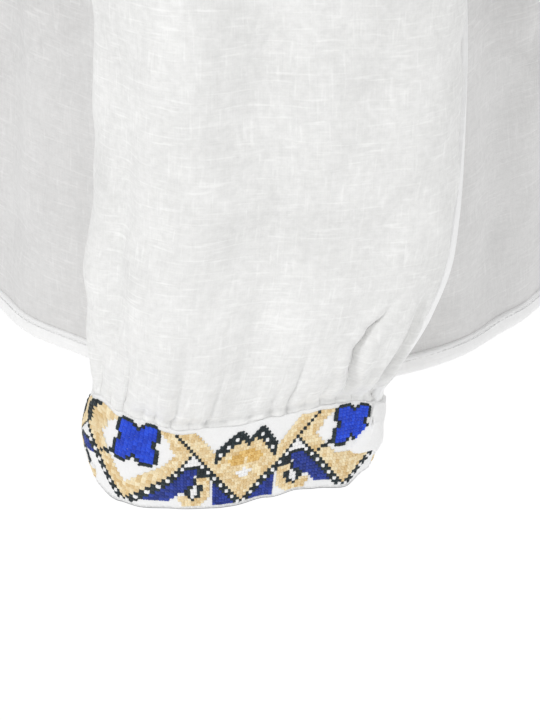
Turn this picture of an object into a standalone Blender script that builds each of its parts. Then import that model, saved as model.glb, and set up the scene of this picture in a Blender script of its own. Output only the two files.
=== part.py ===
"""A filled-out pullover blouse of semi-sheer cloth, with full gathered sleeves on embroidered band cuffs.

Metres, +Z up. The front faces -Y and the wearer's left side is +X. The origin lies midway between the
two neck points, at shoulder height. Each cut piece is an open surface, worked out at the inner face of
the cloth, with a Solidify modifier that lays the wall on its outer side.
"""
import math
from collections import namedtuple

import bpy
from mathutils import Vector

# Cloth
WALL = 0.0013
CUFF_WALL = 0.0020
SEAM_GAP = 0.0003
HEM_DEPTH = 0.0065
HEM_WALL = 0.0022
HEM_STEP = 0.0005

# Body, from the hem ring up to the ring at the underarm
BodyRing = namedtuple("BodyRing", "z half_width half_depth")
BODY_RINGS = [
    BodyRing(z=-0.610, half_width=0.2180, half_depth=0.1530),
    BodyRing(z=-0.540, half_width=0.2178, half_depth=0.1495),
    BodyRing(z=-0.460, half_width=0.2172, half_depth=0.1440),
    BodyRing(z=-0.380, half_width=0.2160, half_depth=0.1375),
    BodyRing(z=-0.315, half_width=0.2148, half_depth=0.1310),
    BodyRing(z=-0.262, half_width=0.2135, half_depth=0.1250),
]
BODY_SIDE_POINT = 1.12
BODY_COLUMNS = 32
YOKE_ROWS = 11
YOKE_EASING_PASSES = 8
YOKE_EASING = 0.6
YOKE_EASING_LENGTHWISE = 0.3
YOKE_LIFT = 0.15
YOKE_EDGE_POWER = 2.2

# Shoulders, armholes and neckline
SHOULDER_HALF_WIDTH = 0.206
SHOULDER_DROP = 0.046
SHOULDER_CROWN = 0.004
SHOULDER_LIFT = 0.02
NECK_CORNER_CUT_IN = 0.02
NECK_HALF_WIDTH = 0.095
NECK_SHARE = 0.25
NECK_DROP = {"front": 0.115, "back": 0.028}
NECK_REACH = {"front": 0.078, "back": 0.062}
ARMHOLE_SWING = 0.25
ARMHOLE_LIFT = 0.05
ARMHOLE_CUT_IN = 0.045
ARMHOLE_MIDDLE = Vector((0.0, 0.0, -0.20))
SHOULDER_PULL = {"front": 0.20, "back": 0.28}
NECK_PULL = 0.10
NECK_TURN_SHARE = 0.13
NECK_FALL = 1.8
NECK_FACING_SIDEWAYS = 0.38
NECK_FACING_FORWARD = 0.95
NECK_FACING_UP = (0.92, 0.40)
BINDING_HEIGHT = 0.008
BINDING_WALL = 0.0020
BINDING_COLUMNS = round(2 * BODY_COLUMNS * (1.0 - 2.0 * NECK_SHARE))

# Soft flutes of the body below the chest, by share of the panel's width
BodyFlute = namedtuple("BodyFlute", "share depth half_width top_z")
FLUTE_RIDGE = 0.4
FLUTE_RIDGE_PLACE = 1.6
BODY_FLUTES = {
    "front": [
        BodyFlute(share=0.13, depth=0.0030, half_width=0.040, top_z=-0.40),
        BodyFlute(share=0.31, depth=0.0065, half_width=0.045, top_z=-0.27),
        BodyFlute(share=0.47, depth=0.0040, half_width=0.035, top_z=-0.36),
        BodyFlute(share=0.64, depth=0.0070, half_width=0.050, top_z=-0.29),
        BodyFlute(share=0.86, depth=0.0035, half_width=0.040, top_z=-0.42),
    ],
    "back": [
        BodyFlute(share=0.16, depth=0.0035, half_width=0.040, top_z=-0.38),
        BodyFlute(share=0.35, depth=0.0070, half_width=0.048, top_z=-0.30),
        BodyFlute(share=0.55, depth=0.0050, half_width=0.040, top_z=-0.33),
        BodyFlute(share=0.71, depth=0.0065, half_width=0.045, top_z=-0.28),
        BodyFlute(share=0.87, depth=0.0030, half_width=0.040, top_z=-0.44),
    ],
}

# Left sleeve, from the armhole to the cuff seam. Inner is the side that faces the body.
SleeveRing = namedtuple("SleeveRing", "inner_x inner_z outer_x outer_z half_width centre_y roundness")
SLEEVE_RINGS = [
    SleeveRing(inner_x=0.2150, inner_z=-0.2620, outer_x=0.2070, outer_z=-0.0460,
               half_width=0.0620, centre_y=0.0000, roundness=2.0),
    SleeveRing(inner_x=0.2200, inner_z=-0.2645, outer_x=0.2330, outer_z=-0.0520,
               half_width=0.0680, centre_y=0.0000, roundness=2.0),
    SleeveRing(inner_x=0.2225, inner_z=-0.2685, outer_x=0.2590, outer_z=-0.0655,
               half_width=0.0715, centre_y=0.0002, roundness=2.0),
    SleeveRing(inner_x=0.2240, inner_z=-0.2745, outer_x=0.2830, outer_z=-0.0880,
               half_width=0.0742, centre_y=0.0005, roundness=2.1),
    SleeveRing(inner_x=0.2252, inner_z=-0.2835, outer_x=0.3010, outer_z=-0.1200,
               half_width=0.0754, centre_y=0.0008, roundness=2.1),
    SleeveRing(inner_x=0.2261, inner_z=-0.2970, outer_x=0.3145, outer_z=-0.1640,
               half_width=0.0752, centre_y=0.0010, roundness=2.1),
    SleeveRing(inner_x=0.2268, inner_z=-0.3200, outer_x=0.3235, outer_z=-0.2260,
               half_width=0.0738, centre_y=0.0015, roundness=2.2),
    SleeveRing(inner_x=0.2272, inner_z=-0.3520, outer_x=0.3265, outer_z=-0.3010,
               half_width=0.0716, centre_y=0.0020, roundness=2.2),
    SleeveRing(inner_x=0.2274, inner_z=-0.3950, outer_x=0.3235, outer_z=-0.3700,
               half_width=0.0696, centre_y=0.0025, roundness=2.2),
    SleeveRing(inner_x=0.2275, inner_z=-0.4380, outer_x=0.3180, outer_z=-0.4300,
               half_width=0.0685, centre_y=0.0027, roundness=2.2),
    SleeveRing(inner_x=0.2275, inner_z=-0.4740, outer_x=0.3125, outer_z=-0.4740,
               half_width=0.0685, centre_y=0.0024, roundness=2.2),
    SleeveRing(inner_x=0.2276, inner_z=-0.5040, outer_x=0.3080, outer_z=-0.5040,
               half_width=0.0692, centre_y=0.0010, roundness=2.2),
    SleeveRing(inner_x=0.2278, inner_z=-0.5280, outer_x=0.3040, outer_z=-0.5280,
               half_width=0.0688, centre_y=-0.0012, roundness=2.3),
    SleeveRing(inner_x=0.2282, inner_z=-0.5480, outer_x=0.2998, outer_z=-0.5480,
               half_width=0.0660, centre_y=-0.0041, roundness=2.3),
    SleeveRing(inner_x=0.2290, inner_z=-0.5640, outer_x=0.2950, outer_z=-0.5640,
               half_width=0.0628, centre_y=-0.0069, roundness=2.3),
    SleeveRing(inner_x=0.2302, inner_z=-0.5770, outer_x=0.2896, outer_z=-0.5770,
               half_width=0.0597, centre_y=-0.0098, roundness=2.4),
    SleeveRing(inner_x=0.2320, inner_z=-0.5870, outer_x=0.2838, outer_z=-0.5870,
               half_width=0.0573, centre_y=-0.0123, roundness=2.4),
    SleeveRing(inner_x=0.2334, inner_z=-0.5914, outer_x=0.2786, outer_z=-0.5914,
               half_width=0.0566, centre_y=-0.0133, roundness=2.5),
    SleeveRing(inner_x=0.2336, inner_z=-0.5943, outer_x=0.2784, outer_z=-0.5943,
               half_width=0.0567, centre_y=-0.0135, roundness=2.5),
]
FINE_RINGS = 6
ARMHOLE_EASE_ROWS = 5
SLEEVE_FLARE = 0.45
SLEEVE_UNDERARM_FLARE = 0.9
SLEEVE_FOLD_ROWS = 2
CUFF_PULL_HEIGHT = 0.05

# Cuff band, a closed tube of three rings, and how its two edges rise and dip on the way round
CuffRing = namedtuple("CuffRing", "z inner_x outer_x half_width centre_y")
CUFF_RINGS = [
    CuffRing(z=-0.5950, inner_x=0.2345, outer_x=0.2775, half_width=0.0560, centre_y=-0.0135),
    CuffRing(z=-0.6130, inner_x=0.2330, outer_x=0.2790, half_width=0.0571, centre_y=-0.0159),
    CuffRing(z=-0.6310, inner_x=0.2315, outer_x=0.2775, half_width=0.0543, centre_y=-0.0161),
]
CUFF_ROUNDNESS = 2.5
EdgeRise = namedtuple("EdgeRise", "share top bottom")
CUFF_EDGES = [
    EdgeRise(share=0.00, top=0.0030, bottom=0.0030),
    EdgeRise(share=0.10, top=0.0025, bottom=0.0045),
    EdgeRise(share=0.20, top=0.0035, bottom=0.0090),
    EdgeRise(share=0.26, top=0.0055, bottom=0.0075),
    EdgeRise(share=0.31, top=0.0072, bottom=0.0030),
    EdgeRise(share=0.36, top=0.0031, bottom=-0.0012),
    EdgeRise(share=0.40, top=0.0007, bottom=-0.0018),
    EdgeRise(share=0.45, top=-0.0024, bottom=-0.0015),
    EdgeRise(share=0.49, top=-0.0006, bottom=-0.0004),
    EdgeRise(share=0.53, top=0.0040, bottom=0.0040),
    EdgeRise(share=0.565, top=0.0063, bottom=0.0072),
    EdgeRise(share=0.59, top=0.0080, bottom=0.0066),
    EdgeRise(share=0.64, top=0.0078, bottom=0.0056),
    EdgeRise(share=0.69, top=0.0050, bottom=0.0095),
    EdgeRise(share=0.74, top=0.0020, bottom=0.0120),
    EdgeRise(share=0.84, top=0.0010, bottom=0.0070),
    EdgeRise(share=0.92, top=0.0020, bottom=0.0035),
]

# Gathers sewn into the cuff, by share of the way round from the side that faces the body, over the front
Gather = namedtuple("Gather", "share depth reach")
GATHERS = [
    Gather(share=0.008, depth=0.0010, reach=0.030),
    Gather(share=0.036, depth=0.0013, reach=0.044),
    Gather(share=0.063, depth=0.0008, reach=0.026),
    Gather(share=0.094, depth=0.0012, reach=0.038),
    Gather(share=0.121, depth=0.0009, reach=0.028),
    Gather(share=0.152, depth=0.0014, reach=0.050),
    Gather(share=0.181, depth=0.0008, reach=0.024),
    Gather(share=0.209, depth=0.0011, reach=0.036),
    Gather(share=0.240, depth=0.0009, reach=0.030),
    Gather(share=0.272, depth=0.0010, reach=0.034),
    Gather(share=0.305, depth=0.0008, reach=0.026),
    Gather(share=0.335, depth=0.0009, reach=0.030),
    Gather(share=0.364, depth=0.0011, reach=0.048),
    Gather(share=0.398, depth=0.0015, reach=0.034),
    Gather(share=0.416, depth=0.0010, reach=0.026),
    Gather(share=0.437, depth=0.0016, reach=0.040),
    Gather(share=0.459, depth=0.0009, reach=0.028),
    Gather(share=0.476, depth=0.0011, reach=0.044),
    Gather(share=0.492, depth=0.0008, reach=0.024),
    Gather(share=0.508, depth=0.0011, reach=0.032),
    Gather(share=0.525, depth=0.0009, reach=0.028),
    Gather(share=0.543, depth=0.0016, reach=0.054),
    Gather(share=0.563, depth=0.0009, reach=0.026),
    Gather(share=0.583, depth=0.0013, reach=0.042),
    Gather(share=0.606, depth=0.0010, reach=0.030),
    Gather(share=0.635, depth=0.0016, reach=0.034),
    Gather(share=0.661, depth=0.0010, reach=0.026),
    Gather(share=0.687, depth=0.0016, reach=0.036),
    Gather(share=0.716, depth=0.0009, reach=0.028),
    Gather(share=0.748, depth=0.0011, reach=0.034),
    Gather(share=0.776, depth=0.0009, reach=0.026),
    Gather(share=0.806, depth=0.0014, reach=0.046),
    Gather(share=0.836, depth=0.0008, reach=0.026),
    Gather(share=0.866, depth=0.0012, reach=0.040),
    Gather(share=0.897, depth=0.0009, reach=0.028),
    Gather(share=0.925, depth=0.0013, reach=0.036),
    Gather(share=0.953, depth=0.0008, reach=0.024),
    Gather(share=0.980, depth=0.0011, reach=0.034),
]
GATHER_SHARPNESS = 0.6
GATHER_CREST = 1.35
GATHER_SEAM_SHARE = 0.55
GATHER_SEAM_RISE = 0.006
GATHER_FADE = 1.5

# Large folds of the sleeve. Each is a trough through its points, from the top down.
Fold = namedtuple("Fold", "name half_width points")
FoldPoint = namedtuple("FoldPoint", "z share depth")
FOLDS = [
    Fold(name="front_edge", half_width=0.011, points=[
        FoldPoint(z=-0.43, share=0.335, depth=0.0),
        FoldPoint(z=-0.50, share=0.338, depth=0.0030),
        FoldPoint(z=-0.56, share=0.346, depth=0.0034),
        FoldPoint(z=-0.61, share=0.362, depth=0.0010),
    ]),
    Fold(name="middle", half_width=0.013, points=[
        FoldPoint(z=-0.34, share=0.455, depth=0.0),
        FoldPoint(z=-0.44, share=0.468, depth=0.0040),
        FoldPoint(z=-0.53, share=0.472, depth=0.0036),
        FoldPoint(z=-0.61, share=0.474, depth=0.0008),
    ]),
    Fold(name="broad", half_width=0.024, points=[
        FoldPoint(z=-0.28, share=0.500, depth=0.0),
        FoldPoint(z=-0.42, share=0.528, depth=0.0050),
        FoldPoint(z=-0.52, share=0.545, depth=0.0048),
        FoldPoint(z=-0.60, share=0.552, depth=0.0008),
    ]),
    Fold(name="slant", half_width=0.009, points=[
        FoldPoint(z=-0.50, share=0.712, depth=0.0),
        FoldPoint(z=-0.54, share=0.690, depth=0.0026),
        FoldPoint(z=-0.566, share=0.628, depth=0.0050),
        FoldPoint(z=-0.585, share=0.612, depth=0.0040),
        FoldPoint(z=-0.61, share=0.622, depth=0.0010),
    ]),
    Fold(name="deep", half_width=0.008, points=[
        FoldPoint(z=-0.53, share=0.705, depth=0.0),
        FoldPoint(z=-0.565, share=0.682, depth=0.0050),
        FoldPoint(z=-0.588, share=0.672, depth=0.0060),
        FoldPoint(z=-0.61, share=0.686, depth=0.0012),
    ]),
    Fold(name="back_long", half_width=0.014, points=[
        FoldPoint(z=-0.30, share=0.800, depth=0.0),
        FoldPoint(z=-0.42, share=0.815, depth=0.0040),
        FoldPoint(z=-0.54, share=0.826, depth=0.0036),
        FoldPoint(z=-0.61, share=0.836, depth=0.0006),
    ]),
    Fold(name="front_long", half_width=0.013, points=[
        FoldPoint(z=-0.32, share=0.205, depth=0.0),
        FoldPoint(z=-0.45, share=0.214, depth=0.0036),
        FoldPoint(z=-0.55, share=0.210, depth=0.0034),
        FoldPoint(z=-0.61, share=0.209, depth=0.0006),
    ]),
    Fold(name="elbow_front", half_width=0.015, points=[
        FoldPoint(z=-0.10, share=0.400, depth=0.0),
        FoldPoint(z=-0.20, share=0.345, depth=0.0045),
        FoldPoint(z=-0.30, share=0.270, depth=0.0050),
        FoldPoint(z=-0.38, share=0.225, depth=0.0),
    ]),
    Fold(name="elbow_back", half_width=0.015, points=[
        FoldPoint(z=-0.12, share=0.590, depth=0.0),
        FoldPoint(z=-0.22, share=0.650, depth=0.0045),
        FoldPoint(z=-0.32, share=0.725, depth=0.0050),
        FoldPoint(z=-0.40, share=0.775, depth=0.0),
    ]),
]
FOLD_RIDGE = 0.35
FOLD_RIDGE_PLACE = 1.7
FOLD_SEAM_RISE = 0.018

SIDES = {"left": 1.0, "right": -1.0}
FACES = {"front": -1.0, "back": 1.0}


def mix(a, b, share):
    """The value that lies the given share of the way from a to b."""
    return a + (b - a) * share


def ease(share):
    """A smooth step from 0 to 1."""
    share = min(1.0, max(0.0, share))
    return share * share * (3.0 - 2.0 * share)


def signed_power(value, power):
    """A power that keeps the sign, for rounded-off ellipses."""
    return math.copysign(abs(value) ** power, value)


def hermite(start, start_pull, end, end_pull, share):
    """The curve from start to end that leaves and arrives along the two pulls."""
    s2 = share * share
    s3 = s2 * share
    return (
        start * (2.0 * s3 - 3.0 * s2 + 1.0)
        + start_pull * (s3 - 2.0 * s2 + share)
        + end * (3.0 * s2 - 2.0 * s3)
        + end_pull * (s3 - s2)
    )


def through_rows(rows, place, column):
    """The value of a column at a place down a table, on a smooth curve through its rows."""
    last = len(rows) - 1
    index = min(last - 1, max(0, int(place)))
    local = place - index
    here = getattr(rows[index], column)
    after = getattr(rows[index + 1], column)
    before = getattr(rows[max(0, index - 1)], column)
    beyond = getattr(rows[min(last, index + 2)], column)
    return hermite(here, (after - before) / 2.0, after, (beyond - here) / 2.0, local)


def round_trip(rows, share, column):
    """A column of a table that goes once round, at a share of the way, eased between its rows."""
    share %= 1.0
    for index, row in enumerate(rows):
        following = rows[(index + 1) % len(rows)]
        span = (following.share - row.share) % 1.0
        local = (share - row.share) % 1.0
        if local <= span:
            return mix(getattr(row, column), getattr(following, column), ease(local / span))
    return 0.0


# Body


def flute_depth(face, share, z):
    """How far a body panel is drawn in at a share of its width and a height."""
    total = 0.0
    panel_width = math.pi * BODY_RINGS[0].half_width
    for flute in BODY_FLUTES[face]:
        away = (share - flute.share) * panel_width / flute.half_width
        fall = ease((flute.top_z - z) / (flute.top_z - BODY_RINGS[0].z))
        ridge = FLUTE_RIDGE * math.exp(-(abs(away) - FLUTE_RIDGE_PLACE) ** 2)
        total += flute.depth * fall * (math.exp(-away * away) - ridge)
    return total


def body_ring_point(face, place, share):
    """A point of the tube below the underarm. Share 0 is the right side seam and 1 the left."""
    z = through_rows(BODY_RINGS, place, "z")
    half_width = through_rows(BODY_RINGS, place, "half_width")
    half_depth = through_rows(BODY_RINGS, place, "half_depth")
    angle = math.pi * (1.0 - share)
    across = math.cos(angle)
    forward = max(0.0, math.sin(angle)) ** BODY_SIDE_POINT if 0.0 < share < 1.0 else 0.0
    drawn = 1.0 - flute_depth(face, share, z) / half_depth
    y = FACES[face] * (SEAM_GAP / 2.0 + half_depth * drawn * forward)
    return Vector((half_width * across, y, z))


def neck_point(face, angle):
    """The neckline: angle 0 is the left neck point and pi the right one."""
    bend = max(0.0, math.sin(angle))
    y = FACES[face] * (SEAM_GAP / 2.0 + NECK_REACH[face] * bend)
    return Vector((NECK_HALF_WIDTH * math.cos(angle), y, -NECK_DROP[face] * bend ** NECK_FALL))


def neck_normal(face, angle):
    """The way the cloth faces along the neckline: up beside the neck, forward or back at its middle."""
    bend = max(0.0, math.sin(angle))
    sideways = NECK_FACING_SIDEWAYS * math.cos(angle)
    forward = FACES[face] * NECK_FACING_FORWARD * bend
    return Vector((sideways, forward, mix(*NECK_FACING_UP, bend))).normalized()


def neck_rise(face, angle):
    """The way the cloth runs up into the neckline, square to its edge."""
    step = 0.01
    low = min(math.pi - step, max(step, angle))
    along = neck_point(face, low + step) - neck_point(face, low - step)
    rise = neck_normal(face, angle).cross(along).normalized()
    return rise if rise.z > 0.0 else -rise


def shoulder_point(face, side, share):
    """The shoulder seam, from the armhole (share 0) to the neck point (share 1)."""
    x = side * mix(SHOULDER_HALF_WIDTH, NECK_HALF_WIDTH, share)
    z = mix(-SHOULDER_DROP, 0.0, share) + SHOULDER_CROWN * math.sin(math.pi * share)
    return Vector((x, FACES[face] * SEAM_GAP / 2.0, z))


def yoke_column(face, share):
    """Both ends of a panel's column above the underarm, each with the pull of the cloth there."""
    sign = FACES[face]
    side = math.copysign(1.0, share - 0.5)
    inward = min(share, 1.0 - share)
    start = body_ring_point(face, len(BODY_RINGS) - 1.0, share)
    edge = (1.0 - 2.0 * inward) ** YOKE_EDGE_POWER
    armhole_start = Vector((-side * ARMHOLE_CUT_IN, sign * ARMHOLE_SWING, ARMHOLE_LIFT))
    armhole_end = Vector((side * ARMHOLE_CUT_IN, -sign * ARMHOLE_SWING, SHOULDER_LIFT))
    shoulder_end = Vector((0.0, -sign * SHOULDER_PULL[face], SHOULDER_LIFT))
    corner_end = Vector((-side * NECK_CORNER_CUT_IN, -sign * SHOULDER_PULL[face], SHOULDER_LIFT))
    if inward <= NECK_SHARE:
        end = shoulder_point(face, side, inward / NECK_SHARE)
        end_pull = shoulder_end.lerp(corner_end, ease(inward / NECK_SHARE)).lerp(armhole_end, edge)
    else:
        angle = math.pi * (1.0 - share - NECK_SHARE) / (1.0 - 2.0 * NECK_SHARE)
        end = neck_point(face, angle)
        middle = min(1.0, (inward - NECK_SHARE) / NECK_TURN_SHARE)
        end_pull = corner_end.lerp(neck_rise(face, angle) * NECK_PULL, middle)
    start_pull = Vector((0.0, 0.0, YOKE_LIFT)).lerp(armhole_start, edge)
    return start, start_pull, end, end_pull


def relaxed(rows, first_row):
    """The same rows with the yoke's inner points eased towards their neighbours, its edges held."""
    for _ in range(YOKE_EASING_PASSES):
        before = [list(row) for row in rows]
        for row in range(first_row, len(rows) - 1):
            for column in range(1, len(rows[row]) - 1):
                beside = (before[row][column - 1] + before[row][column + 1]) / 2.0
                above_below = (before[row - 1][column] + before[row + 1][column]) / 2.0
                aim = beside.lerp(above_below, YOKE_EASING_LENGTHWISE)
                rows[row][column] = before[row][column].lerp(aim, YOKE_EASING)
    return rows


def body_grid(face):
    """Rows of points of a front or back panel, from the hem to the shoulders and the neckline."""
    shares = [column / BODY_COLUMNS for column in range(BODY_COLUMNS + 1)]
    last = len(BODY_RINGS) - 1
    first_span = BODY_RINGS[1].z - BODY_RINGS[0].z
    hem_places = [0.0, HEM_DEPTH / first_span, (HEM_DEPTH + HEM_STEP) / first_span]
    places = hem_places + [float(ring) for ring in range(1, last)]
    rows = [[body_ring_point(face, place, share) for share in shares] for place in places]
    columns = [yoke_column(face, share) for share in shares]
    for row in range(YOKE_ROWS + 1):
        rows.append([hermite(*column, row / YOKE_ROWS) for column in columns])
    return relaxed(rows, len(places) + 2)


# Sleeves and cuffs


def sleeve_frame(place):
    """Centre, half vector towards the outer side, half width and roundness of a left sleeve's ring."""
    ring = SleeveRing(*(through_rows(SLEEVE_RINGS, place, column) for column in SleeveRing._fields))
    inner = Vector((ring.inner_x, 0.0, ring.inner_z))
    outer = Vector((ring.outer_x, 0.0, ring.outer_z))
    centre = (inner + outer) / 2.0
    centre.y = ring.centre_y
    return centre, (outer - inner) / 2.0, ring.half_width, ring.roundness


def ring_point(centre, outward, half_width, roundness, share):
    """A point of a rounded ring. Share 0 faces the body, 0.25 the front, 0.5 out and 0.75 the back."""
    angle = 2.0 * math.pi * share
    out = signed_power(-math.cos(angle), 2.0 / roundness)
    forward = signed_power(math.sin(angle), 2.0 / roundness)
    return centre + outward * out + Vector((0.0, -half_width * forward, 0.0))


def ring_facing(outward, half_width, share):
    """The way the ring faces at a share of its way round."""
    angle = 2.0 * math.pi * share
    reach = outward.length
    facing = outward.normalized() * (-math.cos(angle) / reach)
    facing.y = -math.sin(angle) / half_width
    return facing.normalized()


def fold_depth(share, z, girth):
    """How far the sleeve is drawn in by its large folds, which raise a soft ridge on each side."""
    total = 0.0
    for fold in FOLDS:
        points = fold.points
        if not points[-1].z <= z <= points[0].z:
            continue
        for high, low in zip(points, points[1:]):
            if low.z <= z <= high.z:
                local = ease((high.z - z) / (high.z - low.z))
                away = (share - mix(high.share, low.share, local) + 0.5) % 1.0 - 0.5
                away *= girth / fold.half_width
                ridge = FOLD_RIDGE * math.exp(-(abs(away) - FOLD_RIDGE_PLACE) ** 2)
                total += mix(high.depth, low.depth, local) * (math.exp(-away * away) - ridge)
                break
    return total


def gather_depth(share, height):
    """How far a gather draws the cloth in at a height above the cuff seam; the puffs between stand out."""
    for index, gather in enumerate(GATHERS):
        following = GATHERS[(index + 1) % len(GATHERS)]
        span = (following.share - gather.share) % 1.0
        local = (share - gather.share) % 1.0
        if local < span:
            local /= span
            depth = mix(gather.depth, following.depth, local)
            reach = mix(gather.reach, following.reach, local)
            fade = max(0.0, 1.0 - height / reach) ** GATHER_FADE
            near_seam = mix(GATHER_SEAM_SHARE, 1.0, min(1.0, height / GATHER_SEAM_RISE))
            wave = 1.0 - GATHER_CREST * math.sin(math.pi * local) ** GATHER_SHARPNESS
            return depth * wave * fade * near_seam
    return 0.0


def armhole_point(share):
    """The left armhole's edge on the body: share 0 is the underarm, 0.25 the front, 0.5 the shoulder."""
    face = "front" if share <= 0.5 else "back"
    up = 2.0 * share if share <= 0.5 else 2.0 * (1.0 - share)
    row = min(YOKE_ROWS - 1, int(up * YOKE_ROWS))
    column = yoke_column(face, 1.0)
    lower = hermite(*column, row / YOKE_ROWS)
    upper = hermite(*column, (row + 1) / YOKE_ROWS)
    return lower.lerp(upper, up * YOKE_ROWS - row)


def armhole_facing(share):
    """The way the body panel faces at the armhole's edge."""
    face = "front" if share <= 0.5 else "back"
    up = 2.0 * share if share <= 0.5 else 2.0 * (1.0 - share)
    step = 0.02
    inside = hermite(*yoke_column(face, 1.0 - step), up)
    lower = hermite(*yoke_column(face, 1.0), max(0.0, up - step))
    upper = hermite(*yoke_column(face, 1.0), min(1.0, up + step))
    facing = (upper - lower).cross(inside - armhole_point(share)).normalized()
    return facing if facing.dot(armhole_point(share) - ARMHOLE_MIDDLE) > 0.0 else -facing


def sleeve_start(share):
    """The sleeve's first ring: the armhole's edge, moved out past both walls where they face each other."""
    under = max(0.0, math.cos(2.0 * math.pi * share)) ** 2
    flare = mix(SLEEVE_FLARE, SLEEVE_UNDERARM_FLARE, under)
    clear = SEAM_GAP + WALL * (max(0.0, armhole_facing(share).x) + flare)
    return armhole_point(share) + Vector((clear, 0.0, 0.0))


def sleeve_point(place, share):
    """A point of the left sleeve's inner face, at a place down its rings and a share of the way round."""
    centre, outward, half_width, roundness = sleeve_frame(place)
    point = ring_point(centre, outward, half_width, roundness, share)
    held = 1.0 - ease(place / ARMHOLE_EASE_ROWS)
    if held > 0.0:
        point += (sleeve_start(share) - ring_point(*sleeve_frame(0.0), share)) * held
    height = point.z - SLEEVE_RINGS[-1].inner_z
    girth = 2.0 * math.pi * math.sqrt((outward.length_squared + half_width ** 2) / 2.0)
    faded = ease(place / SLEEVE_FOLD_ROWS) * ease(height / FOLD_SEAM_RISE)
    shape = fold_depth(share, point.z, girth) * faded
    shape += gather_depth(share, max(0.0, height))
    point -= ring_facing(outward, half_width, share) * shape
    seam_pull = ease(1.0 - height / CUFF_PULL_HEIGHT)
    point.z += round_trip(CUFF_EDGES, share, "top") * seam_pull
    return point


def gather_shares():
    """Shares for the fine rings: each gather's trough and the top of the puff that follows it."""
    shares = []
    for index, gather in enumerate(GATHERS):
        span = (GATHERS[(index + 1) % len(GATHERS)].share - gather.share) % 1.0
        shares += [gather.share, gather.share + span / 2.0]
    return shares


def sleeve_grid():
    """Rings of the left sleeve: coarse ones above, with every other share, and fine ones at the cuff."""
    fine = gather_shares()
    coarse = fine[::2]
    count = len(SLEEVE_RINGS)
    rows = []
    for place in range(count):
        shares = fine if place >= count - FINE_RINGS else coarse
        rows.append([sleeve_point(float(place), share) for share in shares])
    return rows


def cuff_point(place, share):
    """A point of the left cuff's inner face. Place 0 is the top edge, 1 the middle and 2 the bottom edge."""
    inner_x = through_rows(CUFF_RINGS, place, "inner_x")
    outer_x = through_rows(CUFF_RINGS, place, "outer_x")
    centre = Vector(((inner_x + outer_x) / 2.0, through_rows(CUFF_RINGS, place, "centre_y"), 0.0))
    outward = Vector(((outer_x - inner_x) / 2.0, 0.0, 0.0))
    half_width = through_rows(CUFF_RINGS, place, "half_width")
    point = ring_point(centre, outward, half_width, CUFF_ROUNDNESS, share)
    rise = mix(round_trip(CUFF_EDGES, share, "top"), round_trip(CUFF_EDGES, share, "bottom"), place / 2.0)
    point.z = through_rows(CUFF_RINGS, place, "z") + rise
    return point


def cuff_grid():
    """Rings of the left cuff from its top edge to its bottom edge."""
    shares = gather_shares()
    return [[cuff_point(float(place), share) for share in shares] for place in range(len(CUFF_RINGS))]


def binding_grid():
    """Two rings of the neck binding: its sewn edge, just off the panels, and its free edge."""
    edge = []
    for column in range(BINDING_COLUMNS):
        turn = 2.0 * math.pi * column / BINDING_COLUMNS
        face = "back" if turn <= math.pi else "front"
        angle = turn if turn <= math.pi else 2.0 * math.pi - turn
        edge.append((neck_point(face, angle), neck_rise(face, angle)))
    sewn = [point + rise * SEAM_GAP for point, rise in edge]
    free = [point + rise * BINDING_HEIGHT for point, rise in edge]
    return [sewn, free]


# Building the objects


def cloth_material(name, colour, roughness):
    """A plain Principled material in the cloth's colour."""
    material = bpy.data.materials.new(name)
    material.use_nodes = True
    shader = material.node_tree.nodes["Principled BSDF"]
    shader.inputs["Base Color"].default_value = (*colour, 1.0)
    shader.inputs["Roughness"].default_value = roughness
    shader.inputs["Metallic"].default_value = 0.0
    return material


def mirrored(rows):
    """The same rows on the other side of the garment."""
    return [[Vector((-point.x, point.y, point.z)) for point in row] for row in rows]


def loft_faces(rows, closed, flipped):
    """Faces between neighbouring rows, where a row may have twice the points of the one above it."""
    starts = [0]
    for row in rows:
        starts.append(starts[-1] + len(row))
    faces = []
    for index, (upper, lower) in enumerate(zip(rows, rows[1:])):
        a, b = starts[index], starts[index + 1]
        count = len(upper) if closed else len(upper) - 1
        for column in range(count):
            after = (column + 1) % len(upper)
            if len(lower) == len(upper):
                faces.append((a + column, b + column, b + after, a + after))
                continue
            left, middle, right = 2 * column, 2 * column + 1, (2 * column + 2) % len(lower)
            faces.append((a + column, b + left, b + middle))
            faces.append((a + column, b + middle, a + after))
            faces.append((a + after, b + middle, b + right))
    return [tuple(reversed(face)) for face in faces] if flipped else faces


def cloth_piece(collection, name, rows, material, wall, closed=True, flipped=False, hem_rows=0):
    """One cut piece: its surface with a wall on the outer side, thicker along the turned hem rows."""
    mesh = bpy.data.meshes.new(name)
    mesh.from_pydata([point for row in rows for point in row], [], loft_faces(rows, closed, flipped))
    mesh.shade_smooth()
    mesh.materials.append(material)
    piece = bpy.data.objects.new(name, mesh)
    collection.objects.link(piece)
    solid = piece.modifiers.new("Wall", "SOLIDIFY")
    solid.offset = 1.0
    solid.thickness = wall
    solid.use_even_offset = False
    if hem_rows:
        hem = piece.vertex_groups.new(name="hem")
        hem.add(range(hem_rows * len(rows[0])), 1.0, "REPLACE")
        solid.thickness = HEM_WALL
        solid.vertex_group = hem.name
        solid.thickness_vertex_group = wall / HEM_WALL
    return piece


def clear_scene():
    """Removes the objects of the file this runs in."""
    for item in list(bpy.data.objects):
        bpy.data.objects.remove(item, do_unlink=True)


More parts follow.
